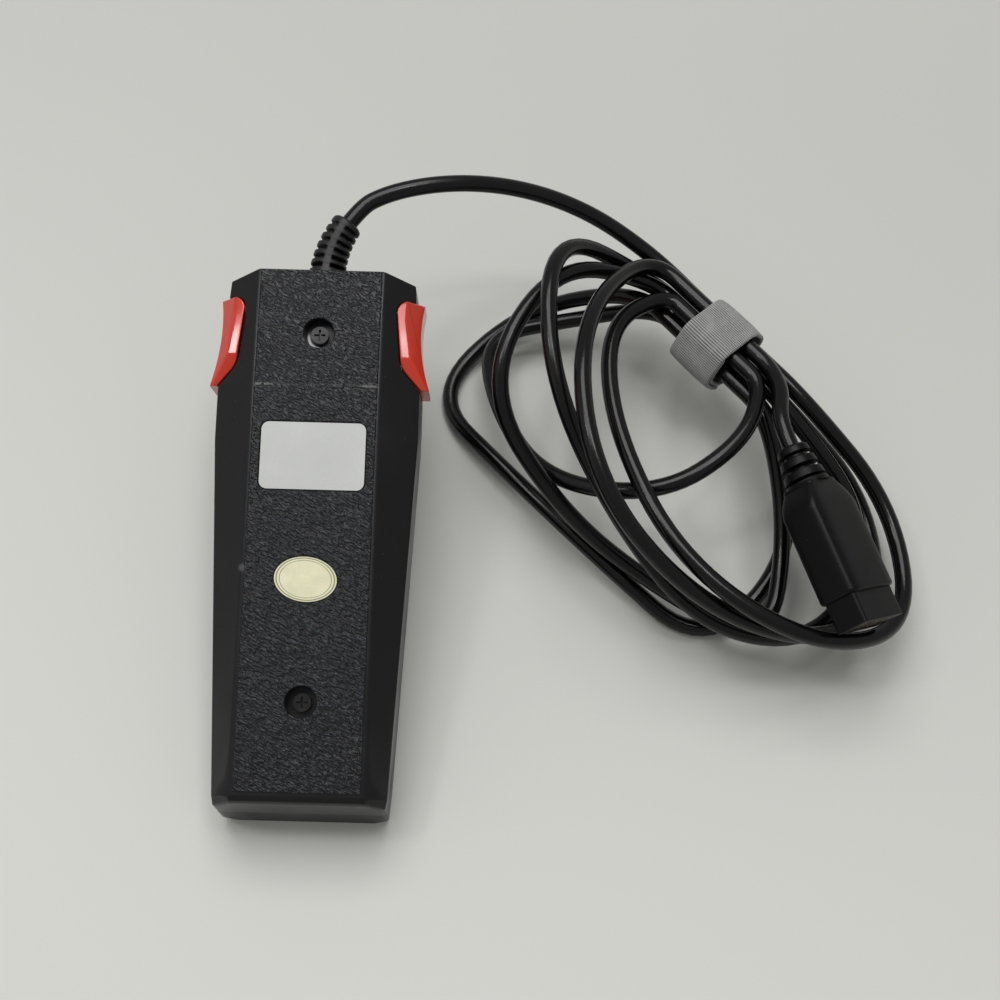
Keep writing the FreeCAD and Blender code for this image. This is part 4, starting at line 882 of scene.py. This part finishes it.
@dataclass(frozen=True)
class Sleeve:
    """Ribbed sleeve round a cord, in millimetres along its own middle line.

    The ribs are joined by a spine on each of four sides where spine halves are given.
    """

    name: str
    start: float
    length: float
    pitch: float
    first_rib: float
    rib_width: float
    root_radius: float
    tip_radius: float
    core_radius: float
    spine_halves: tuple[float, float] | None = None
    collars: tuple[tuple[float, float], ...] = ()
    rib_ease: float = 0.1
    slope_share: float = 0.75
    crown_drop: float = 0.16
    end_drop: float = 0.5
    end_length: float = 0.7
    window_ease: float = 0.45
    web_drop: float = 0.65
    top_lift: float = 0.6
    top_from: float = 0.6
    top_ease: float = 0.3

    def radius(self, run: float, angle: float) -> float:
        """Radius at one run along the sleeve and one angle round it.

        Args:
            run: Length along the middle line, in millimetres.
            angle: Angle from the level side, in radians.

        Returns:
            The radius in millimetres.
        """
        for reach, wide in self.collars:
            if run < reach:
                return wide
        share = max(0.0, min(1.0, run / self.length))
        outer = self.root_radius + share * (self.tip_radius - self.root_radius)
        middle = self.first_rib + self.rib_width / 2
        number = round((run - middle) / self.pitch)
        away = abs(run - middle - number * self.pitch)
        half_gap = (self.pitch - self.rib_width) / 2
        rib = 1.0 - smooth_step((away - self.rib_width / 2 + self.rib_ease) / (half_gap * self.slope_share))
        if number < 0 or run > self.length - self.rib_width:
            rib = 1.0
        crown = self.crown_drop * (away / (self.pitch / 2)) ** 2
        end_round = self.end_drop * max(0.0, 1.0 - (self.length - run) / self.end_length) ** 2
        valley = self.core_radius
        if self.spine_halves:
            top_half, side_half = self.spine_halves
            off_side = abs(math.sin(angle)) * outer - side_half
            off_top = abs(math.cos(angle)) * outer - top_half
            open_share = smooth_step(off_side / self.window_ease) * smooth_step(off_top / self.window_ease)
            on_top = smooth_step((abs(math.sin(angle)) - self.top_from) / self.top_ease)
            web = outer - self.web_drop + self.top_lift * on_top
            crown *= 1.0 - on_top * (1.0 - smooth_step(off_top / self.top_lift))
            valley = web + (self.core_radius - web) * open_share
        return valley + (outer - crown - valley) * rib - end_round

    def build(self, centre_line: CentreLine, material: bpy.types.Material) -> bpy.types.Object:
        """Make the sleeve round a middle line."""
        return tube_piece(self.name, (self.start, self.length), centre_line, self.radius, material)


def tube_piece(name: str, runs: tuple[float, float], centre_line: CentreLine,
               radius: Callable[[float, float], float], material: bpy.types.Material) -> bpy.types.Object:
    """Bend a grid round a middle line and close its ends.

    Args:
        name: Name of the piece.
        runs: First and last run along the middle line, in millimetres.
        centre_line: Gives the place, the side and the up directions at a run.
        radius: Gives the radius at a run and an angle from the side direction.
        material: Material of the piece.

    Returns:
        The new object.
    """
    mesh = bmesh.new()
    faces_along, faces_round = 170, 112
    weld = 0.000002
    bmesh.ops.create_grid(mesh, x_segments=faces_along, y_segments=faces_round, size=0.5)
    for vert in mesh.verts:
        run = runs[0] + (vert.co.x + 0.5) * (runs[1] - runs[0])
        angle = (vert.co.y + 0.5) * 2 * math.pi
        place, side, rise = centre_line(run)
        vert.co = (place + (side * math.cos(angle) + rise * math.sin(angle)) * radius(run, angle)) * MM
    bmesh.ops.remove_doubles(mesh, verts=mesh.verts, dist=weld)
    bmesh.ops.holes_fill(mesh, edges=mesh.edges, sides=0)
    return finished_piece(name, mesh, material)


@dataclass(frozen=True)
class Hood:
    """Moulded hood with rounded-rectangle sections and round shoulders, in millimetres."""

    length: float = 32.0
    neck_half: float = 6.4
    half_width: float = 10.5
    half_thickness: float = 6.0
    neck_drop: float = 0.9
    collar: float = 1.0
    shoulder: float = 7.5
    end_round: float = 0.9
    squareness: float = 7.0

    def radius(self, run: float, angle: float) -> float:
        """Radius of the section at one run from the cord's side and one angle.

        Args:
            run: Distance from the cord's side, in millimetres.
            angle: Angle round the middle line, in radians.

        Returns:
            Radius in millimetres.
        """
        shoulder = math.sin(max(0.0, min(1.0, (run - self.collar) / self.shoulder)) * math.pi / 2)
        wide = self.neck_half + (self.half_width - self.neck_half) * shoulder
        thick = self.half_thickness - self.neck_drop * (1.0 - shoulder)
        power = self.squareness
        reach = abs(math.cos(angle) / wide) ** power + abs(math.sin(angle) / thick) ** power
        return reach ** (-1 / power) - rounding(min(run, self.length - run), self.end_round)


def rounding(away: float, radius: float) -> float:
    """Drop of a quarter-round edge at a distance from its end."""
    near_end = max(0.0, 1.0 - away / radius)
    return radius * (1.0 - math.sqrt(1.0 - near_end ** 2))


def smooth_step(value: float) -> float:
    """Value eased between zero and one."""
    held = max(0.0, min(1.0, value))
    return held * held * (3.0 - 2.0 * held)


@dataclass
class StrainRelief:
    """Ribbed relief that leaves the case's cord end and bends sideways."""

    bend: float = 30.0
    turn: float = 34.0
    case_length: float = 138.0
    depth: float = 12.0
    ribs: float = 7.5

    def tip(self) -> tuple[Vector, Vector]:
        """Centre and heading of the relief's end, in millimetres of the row frame.

        Returns:
            The centre and the heading.
        """
        turn = math.radians(self.turn)
        place = CASE_PLACE.point(self.bend * (1 - math.cos(turn)),
                                 self.case_length + self.bend * math.sin(turn), -self.depth)
        return place / MM, CASE_PLACE.direction(math.sin(turn), math.cos(turn), 0.0)

    def centre_line(self, run: float) -> tuple[Vector, Vector, Vector]:
        """Place, side and up directions at one run from the case's end.

        Args:
            run: Distance from the case's end, in millimetres.

        Returns:
            The place and the two directions.
        """
        angle = max(0.0, run) / self.bend
        straight = min(0.0, run)
        place = CASE_PLACE.point(self.bend * (1 - math.cos(angle)),
                                 self.case_length + straight + self.bend * math.sin(angle), -self.depth)
        side = CASE_PLACE.direction(math.cos(angle), -math.sin(angle), 0.0)
        return place / MM, side, CASE_PLACE.direction(0.0, 0.0, 1.0)

    def build(self, material: bpy.types.Material) -> None:
        """Make the relief in place of its CAD node.

        Args:
            material: Material of the relief.
        """
        arc = self.bend * math.radians(self.turn)
        pitch = arc / self.ribs
        sleeve = Sleeve("relief_boot", start=-3.8, length=arc, pitch=pitch, first_rib=-0.28 * pitch,
                        rib_width=0.5 * pitch, root_radius=5.1, tip_radius=4.25, core_radius=3.1,
                        spine_halves=(1.1, 1.3), collars=((-2.3, 5.5), (-0.05, 3.65)))
        boot = sleeve.build(self.centre_line, material)
        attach(boot, Body.CASE.value)
        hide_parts("strain_relief")


def softened(source: bpy.types.Object, body: Body, material: bpy.types.Material, width_mm: float,
             outside: Callable[[Vector], bool]) -> None:
    """Put a copy with rounded outer edges in place of a CAD node.

    Args:
        source: The CAD node.
        body: Body it rides on.
        material: Material of the copy.
        width_mm: Width of the rounding, in millimetres.
        outside: Test of the edges to round, on the place of an edge's middle.
    """
    sharp, flat, smooth = math.radians(19), math.radians(0.6), math.radians(32)
    furthest = 0.6 * width_mm * MM
    weld = 0.000005
    mesh = bmesh.new()
    mesh.from_mesh(source.data)
    bmesh.ops.remove_doubles(mesh, verts=mesh.verts, dist=weld)
    bmesh.ops.dissolve_limit(mesh, angle_limit=flat, verts=mesh.verts, edges=mesh.edges)
    chosen = [edge for edge in mesh.edges if len(edge.link_faces) == 2 and edge.calc_face_angle() > sharp
              and outside((edge.verts[0].co + edge.verts[1].co) / 2)]
    before = BVHTree.FromBMesh(mesh)
    bmesh.ops.bevel(mesh, geom=chosen, offset=width_mm * MM, offset_type="OFFSET", segments=3, profile=0.5,
                    affect="EDGES", material=-1, clamp_overlap=False)
    # A corner that the bevel throws off the surface goes back to it
    for vert in mesh.verts:
        nearest, _, _, distance = before.find_nearest(vert.co)
        if distance > furthest:
            vert.co = nearest
    for edge in mesh.edges:
        edge.smooth = len(edge.link_faces) == 2 and edge.calc_face_angle() < smooth
    piece = finished_piece(source.name + "_soft", mesh, material)
    weighted = piece.modifiers.new("flat_faces", "WEIGHTED_NORMAL")
    weighted.keep_sharp = True
    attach(piece, body.value)
    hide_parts(source.name)
    LOG.info("%s: %d edges rounded", piece.name, len(chosen))


@dataclass
class Plug:
    """The moulded plug and where it lies, in millimetres of the row frame."""

    start: Vector = field(default_factory=lambda: Vector((130.0, 15.78, 35.9)))
    axis: Vector = field(default_factory=lambda: Vector((0.370, -0.920, -0.128)).normalized())
    relief_length: float = 11.0
    roll_degrees: float = 38.0
    ribs: int = 3

    @property
    def cord_end(self) -> Vector:
        """Where the cord goes into the plug's relief."""
        return self.start - self.axis * self.relief_length

    @property
    def level(self) -> Vector:
        """Level direction across the plug."""
        return Vector((-self.axis.y, self.axis.x, 0.0)).normalized()

    def centre_line(self, run: float) -> tuple[Vector, Vector, Vector]:
        """Place, side and up directions at one run from the hood towards the cord."""
        return self.start - self.axis * run, self.level, self.level.cross(self.axis)

    def hood_line(self, run: float) -> tuple[Vector, Vector, Vector]:
        """Place, side and up directions at one run from the cord's side of the hood.

        Args:
            run: Distance from the cord's side, in millimetres.

        Returns:
            The place and the two directions.
        """
        roll = math.radians(self.roll_degrees)
        normal = self.axis.cross(self.level) * math.cos(roll) + self.level * math.sin(roll)
        return self.start + self.axis * run, self.axis.cross(normal), normal

    def build(self, dresser: Dresser) -> list[bpy.types.Object]:
        """Make the plug's parts.

        Args:
            dresser: What puts finishes on pieces.

        Returns:
            The pieces that the cord carries.
        """
        finish = MouldedFinish("plug_black", (0.0020, 0.0020, 0.0024), (0.0036, 0.0036, 0.0042),
                               roughness=0.4, size=1500.0, depth=0.00003, specular=0.17)
        shell = finish.material(dresser.effects)
        nodes = dresser.frame["nodes"]
        form = Hood()
        hood = tube_piece("plug_hood_soft", (0.0, form.length), self.hood_line, form.radius, shell)
        dresser.put(shell, "plug_nose")
        pitch = self.relief_length / self.ribs
        sleeve = Sleeve("plug_boot", start=-0.4, length=self.relief_length, pitch=pitch,
                        first_rib=pitch * 0.4, rib_width=pitch * 0.6, root_radius=6.0, tip_radius=4.2,
                        core_radius=3.0)
        boot = sleeve.build(self.centre_line, shell)
        for piece, node in ((hood, "plug_hood"), (boot, "plug_relief")):
            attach(piece, Body.CASE.value)
            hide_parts(node)
        dresser.dress(MetalFinish("contact_brass", (0.65, 0.48, 0.2), 0.3), "plug_contacts")
        return [hood, nodes["plug_nose"], boot, nodes["plug_contacts"]]


@dataclass
class Strap:
    """Woven strap wrapped round the strands, its end lying over the first turn."""

    width: float = 15.3
    bore: float = 8.3
    oval: float = 1.1
    thickness: float = 1.3
    overlap_degrees: float = 110.0
    start_degrees: float = 130.0
    lift_share: float = 1.08
    lift_run: float = 0.35
    corner: float = 0.35
    corners: int = 6
    edge_drop: float = 0.25

    def build(self, dresser: Dresser, cord: Cord) -> bpy.types.Object:
        """Make the strap from a grid bent round the strands.

        Args:
            dresser: What puts finishes on pieces.
            cord: Cord whose strands it holds.

        Returns:
            The strap's object.
        """
        mesh = bmesh.new()
        layer = mesh.loops.layers.uv.new("UVMap")
        faces_round, faces_across = 108, 14
        bmesh.ops.create_grid(mesh, x_segments=faces_round, y_segments=faces_across, size=0.5)
        total = math.radians(360 + self.overlap_degrees)
        start = math.radians(self.start_degrees)
        for face in mesh.faces:
            for loop in face.loops:
                u, v = loop.vert.co.x + 0.5, loop.vert.co.y + 0.5
                loop[layer].uv = (u * total * self.bore * MM, v * self.width * MM)
        for vert in mesh.verts:
            u, v = vert.co.x + 0.5, vert.co.y
            angle = u * total
            lifted = max(0.0, min(1.0, (angle - 2 * math.pi + self.lift_run) / self.lift_run))
            lift = self.thickness * self.lift_share * lifted
            corner = self.corner * math.cos(self.corners * (angle + start))
            reach = self.bore + self.thickness / 2 + lift + corner - self.edge_drop * (2 * abs(v)) ** 3
            turned = start + angle
            aside = cord.across * (math.cos(turned) * self.oval) + Vector((0.0, 0.0, math.sin(turned)))
            vert.co = (cord.tie + aside * reach + cord.axis * (v * self.width)) * MM
        strap = finished_piece("strap", mesh, StrapFinish().material(dresser.effects))
        solid = strap.modifiers.new("thickness", "SOLIDIFY")
        solid.thickness = self.thickness * MM
        solid.offset = 0.0
        soft = strap.modifiers.new("soft", "SUBSURF")
        soft.levels = soft.render_levels = 1
        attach(strap, Body.CASE.value)
        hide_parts("cable_tie")
        return strap


def placed(name: str, data: bpy.types.ID) -> bpy.types.Object:
    """Object of some data, in the scene and at the origin.

    Args:
        name: Name of the object.
        data: Mesh, curve, camera or light.

    Returns:
        The object.
    """
    thing = bpy.data.objects.new(name, data)
    bpy.context.scene.collection.objects.link(thing)
    return thing


def finished_piece(name: str, mesh: bmesh.types.BMesh, material: bpy.types.Material) -> bpy.types.Object:
    """Turn a bmesh into a piece at the origin.

    Args:
        name: Name of the piece.
        mesh: Its mesh, in row frame metres.
        material: Its material.

    Returns:
        The new object.
    """
    data = bpy.data.meshes.new(name)
    bmesh.ops.recalc_face_normals(mesh, faces=mesh.faces)
    mesh.to_mesh(data)
    mesh.free()
    data.materials.append(material)
    for polygon in data.polygons:
        polygon.use_smooth = True
    return placed(name, data)


@dataclass
class CaseLooks:
    """Finishes of the case, its screws, plates and buttons, with the sizes that tell its outer edges."""

    edge_mm: float = 0.32
    cap_edge_mm: float = 0.45
    cap_depth: float = 8.5
    low_half: float = 22.2
    widening: float = 4.4
    widest_at: float = 93.0
    narrowing: float = 2.2
    fold_at: float = 106.4
    length: float = 138.0
    top_half: float = 15.9
    corner_slope: float = 0.32
    relief_half: float = 6.0
    parting: float = 12.0
    bevel_depth: float = 6.4
    back_depth: float = 2.2
    front_depth: float = 22.7
    band_half: float = 14.5
    side_margin: float = 0.25
    parting_margin: float = 0.1
    parting_half: float = 0.05
    band_margin: float = 1.0
    edge_margin: float = 0.5
    cord_end_margin: float = 0.4
    low_end: float = 1.6

    def build(self, dresser: Dresser) -> None:
        """Dress the case.

        Args:
            dresser: What puts finishes on pieces.
        """
        nodes = dresser.frame["nodes"]
        back = RearShellFinish().material(dresser.effects)
        softened(nodes["rear_shell"], Body.CASE, back, self.edge_mm, self.is_outside)
        satin = MouldedFinish("front_shell_black", (0.0022, 0.0022, 0.0025), (0.0036, 0.0036, 0.0040),
                              roughness=0.34, specular=0.19).material(dresser.effects)
        softened(nodes["front_shell"], Body.CASE, satin, self.edge_mm, self.is_outside)
        red = MouldedFinish("button_red", (0.54, 0.026, 0.0095), (0.60, 0.034, 0.012), roughness=0.2,
                            depth=0.00001, coat=0.4, specks=0.1).material(dresser.effects)
        for node, body in (("left_fire_button", Body.LEFT_FIRE), ("right_fire_button", Body.RIGHT_FIRE)):
            softened(nodes[node], body, red, self.cap_edge_mm, self.is_on_cap)
        dresser.dress(MetalFinish("case_screw_black", (0.007, 0.007, 0.0075), 0.3, 0.3), "case_screws")
        label = MouldedFinish("label_silver", (0.50, 0.508, 0.495), (0.575, 0.583, 0.57), roughness=0.5,
                              size=3000.0, depth=0.00001)
        dresser.dress(label, "label_plate", "front_badge")
        dresser.dress(StickerFinish(), "oval_sticker")

    @staticmethod
    def in_case(middle: Vector) -> Vector:
        """A place of the row frame in the case's own frame, in millimetres."""
        return CASE_PLACE.matrix().inverted() @ middle / MM

    def is_outside(self, middle: Vector) -> bool:
        """Whether an edge lies on the outside of the shells, away from the small holes.

        Args:
            middle: Middle of the edge, in row frame metres.

        Returns:
            True if the edge may be rounded.
        """
        place = self.in_case(middle)
        x, y, z = abs(place.x), place.y, place.z
        half = self.low_half + self.widening * min(1.0, y / self.widest_at)
        half -= self.narrowing * max(0.0, (y - self.fold_at) / (self.length - self.fold_at))
        on_side = z < self.parting_margin - self.parting or z > -self.bevel_depth
        outer_side = x > half - self.side_margin and on_side
        inner_band = x < self.band_half and y < self.length - self.band_margin
        on_back = z > -self.back_depth and (inner_band or y > self.length - self.edge_margin)
        slant = max(0.0, x - self.top_half) * self.corner_slope
        cord_end = self.length - self.cord_end_margin - slant
        at_end = y < self.low_end or y > cord_end and x > self.relief_half
        at_parting = abs(z + self.parting) < self.parting_half
        return (outer_side or on_back or at_end or z < -self.front_depth) and not at_parting

    def is_on_cap(self, middle: Vector) -> bool:
        """Whether an edge lies on the part of a button that shows."""
        return self.in_case(middle).z > -self.cap_depth


@dataclass(frozen=True)
class Knob:
    """Flared knob of the stick, in millimetres from the stick's pivot."""

    line: float = 100.0
    pivot_depth: float = 16.2
    start: float = 18.0
    flare: float = 8.0
    end: float = 34.8
    neck: float = 6.0
    wide: float = 9.0
    end_round: float = 2.5
    start_round: float = 0.5
    fullness: float = 0.9

    def centre_line(self, run: float) -> tuple[Vector, Vector, Vector]:
        """Place, side and up directions at one distance from the pivot."""
        place = CASE_PLACE.point(0.0, self.line, -self.pivot_depth - run) / MM
        return place, CASE_PLACE.direction(1.0, 0.0, 0.0), CASE_PLACE.direction(0.0, 1.0, 0.0)

    def radius(self, run: float, _angle: float) -> float:
        """Radius at one distance from the pivot, alike all round.

        Args:
            run: Distance from the pivot, in millimetres.
            _angle: Angle round the axis, which changes nothing.

        Returns:
            Radius in millimetres.
        """
        share = min(1.0, (run - self.start) / self.flare)
        radius = self.neck + (self.wide - self.neck) * share ** self.fullness
        ends = rounding(self.end - run, self.end_round) + rounding(run - self.start, self.start_round)
        return radius - ends

    def build(self, material: bpy.types.Material) -> None:
        """Make the knob in place of its CAD node.

        Args:
            material: Material of the knob.
        """
        knob = tube_piece("stick_knob_soft", (self.start, self.end), self.centre_line, self.radius, material)
        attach(knob, Body.STICK.value)
        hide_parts("stick_knob")


class StickLooks:
    """Finishes of the stick, its works and the strain relief."""

    @staticmethod
    def build(dresser: Dresser, relief: StrainRelief) -> None:
        """Dress the stick, its cradle, the boards and the relief.

        Args:
            dresser: What puts finishes on pieces.
            relief: Strain relief that is made along with them.
        """
        gloss = MouldedFinish("stick_gloss", (0.006, 0.006, 0.0066), (0.009, 0.009, 0.0098),
                              roughness=0.28, coat=0.1)
        Knob().build(dresser.dress(gloss, "stick_bezel"))
        works = MouldedFinish("stick_works", (0.07, 0.07, 0.07), (0.1, 0.1, 0.1), roughness=0.5)
        dresser.dress(works, "stick_shaft", "stick_actuator", "gimbal_ring", "stick_cradle", "cradle_cap")
        rubber = MouldedFinish("black_rubber", (0.0050, 0.0050, 0.0055), (0.0085, 0.0085, 0.009),
                               roughness=0.45, size=1400.0, depth=0.00004, specular=0.4)
        relief.build(dresser.dress(rubber, "stick_dust_cap", "inner_cord"))
        green = MouldedFinish("board_green", (0.012, 0.09, 0.03), (0.02, 0.13, 0.045), roughness=0.35,
                              coat=0.3)
        dresser.dress(green, "main_board", "left_fire_board", "right_fire_board")
        grey = MouldedFinish("dome_grey", (0.22, 0.23, 0.24), (0.3, 0.31, 0.32), roughness=0.6)
        dresser.dress(grey, "direction_domes", "left_fire_dome", "right_fire_dome")
        white = MouldedFinish("header_white", (0.62, 0.61, 0.56), (0.7, 0.69, 0.64), roughness=0.5)
        dresser.dress(white, "wire_header")
        steel = MetalFinish("small_steel", (0.55, 0.55, 0.54), 0.3)
        dresser.dress(steel, "cradle_screws", "board_screws", "stick_clip", "stick_cross_pin")


@dataclass(frozen=True)
class Lamp:
    """One square soft lamp: its place and the side of its square in metres, its power in watts."""

    name: str
    place: tuple[float, float, float]
    size: float
    power: float

    def hang(self, aim: Vector) -> None:
        """Hang the lamp and point it at a place.

        Args:
            aim: Place that the lamp points at.
        """
        data = bpy.data.lights.new(self.name, "AREA")
        data.size = self.size
        data.energy = self.power
        lamp = placed(self.name, data)
        lamp.location = self.place
        lamp.rotation_euler = (aim - Vector(self.place)).to_track_quat("-Z", "Y").to_euler()


@dataclass(frozen=True)
class Studio:
    """Floor, lights and camera."""

    floor_near: Colour = (0.690, 0.690, 0.655)
    floor_far: Colour = (0.540, 0.545, 0.515)
    eye_mm: tuple[float, float, float] = (48.02, -150.08, 380.76)
    forward: tuple[float, float, float] = (0.0013, 0.4188, -0.9081)
    up: tuple[float, float, float] = (-0.0268, 0.9078, 0.4186)
    focal_pixels: float = 1444.0
    frame_pixels: float = 1000.0
    floor_depth: float = 0.0001
    floor_half: float = 6.0
    fade: tuple[float, float] = (-0.16, 0.24)
    fade_slant: float = 0.25
    sensor_mm: float = 36.0
    nearest: float = 0.01
    lit_middle: tuple[float, float, float] = (0.05, 0.0, 0.0)
    lamps: tuple[Lamp, ...] = (
        Lamp("key", (-0.06, 0.46, 1.35), 0.95, 11.5),
        Lamp("left_fill", (-1.1, -0.05, 0.65), 1.1, 0.8),
        Lamp("left_spark", (-0.637, 0.09, 1.31), 0.19, 1.8),
        Lamp("right_spark", (0.311, 0.065, 1.42), 0.19, 1.4),
    )
    room_colour: tuple[float, float, float, float] = (1.0, 1.0, 0.99, 1.0)
    room_strength: float = 0.35

    def camera(self) -> None:
        """Place the camera where the photograph was taken from."""
        data = bpy.data.cameras.new("camera")
        data.sensor_width = self.sensor_mm
        data.lens = self.focal_pixels / self.frame_pixels * data.sensor_width
        data.clip_start = self.nearest
        camera = placed("camera", data)
        ahead = Vector(self.forward).normalized()
        right = ahead.cross(Vector(self.up)).normalized()
        rise = right.cross(ahead)
        turn = Matrix((right, rise, -ahead)).transposed().to_4x4()
        camera.matrix_world = Matrix.Translation(Vector(self.eye_mm) * MM) @ turn
        bpy.context.scene.camera = camera

    def floor(self) -> None:
        """Wide pale floor, darker towards the far side."""
        mesh = bmesh.new()
        lowered = Matrix.Translation((0.0, 0.0, -self.floor_depth))
        bmesh.ops.create_grid(mesh, x_segments=2, y_segments=2, size=self.floor_half, matrix=lowered)
        material, nodes, shader = new_material("floor_pale")
        x, y, _ = nodes.split(object_place(nodes))
        away = nodes.ramp(nodes.math("MULTIPLY_ADD", x, self.fade_slant, y), *self.fade)
        nodes.give(shader.inputs["Base Color"], nodes.mix(away, self.floor_near, self.floor_far))
        shader.inputs["Roughness"].default_value = 0.7
        shader.inputs["Specular IOR Level"].default_value = 0.2
        finished_piece("floor", mesh, material)

    def room(self) -> None:
        """Light the room softly from all sides."""
        world = bpy.data.worlds.new("soft_room")
        world.use_nodes = True
        background = world.node_tree.nodes["Background"]
        background.inputs["Color"].default_value = self.room_colour
        background.inputs["Strength"].default_value = self.room_strength
        bpy.context.scene.world = world
        bpy.context.scene.view_settings.view_transform = "Standard"

    def build(self) -> None:
        """Set the whole studio."""
        self.camera()
        self.floor()
        for lamp in self.lamps:
            lamp.hang(Vector(self.lit_middle))
        self.room()


def main() -> None:
    """Build the studio, then each sub-assembly in order."""
    logging.basicConfig(level=logging.INFO, format="%(name)s: %(message)s")
    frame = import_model()
    Studio().build()
    LOG.info("studio set")
    dresser = Dresser(frame)
    relief = StrainRelief()
    plug = Plug()
    form = Cord()
    cord = form.build(dresser, relief, plug)
    strap = Strap().build(dresser, form)
    carried = [strap, *plug.build(dresser)]
    LOG.info("cord, strap and plug made")
    CaseLooks().build(dresser)
    LOG.info("case dressed")
    StickLooks.build(dresser, relief)
    LOG.info("stick and relief dressed")


if __name__ == "__main__":
    main()
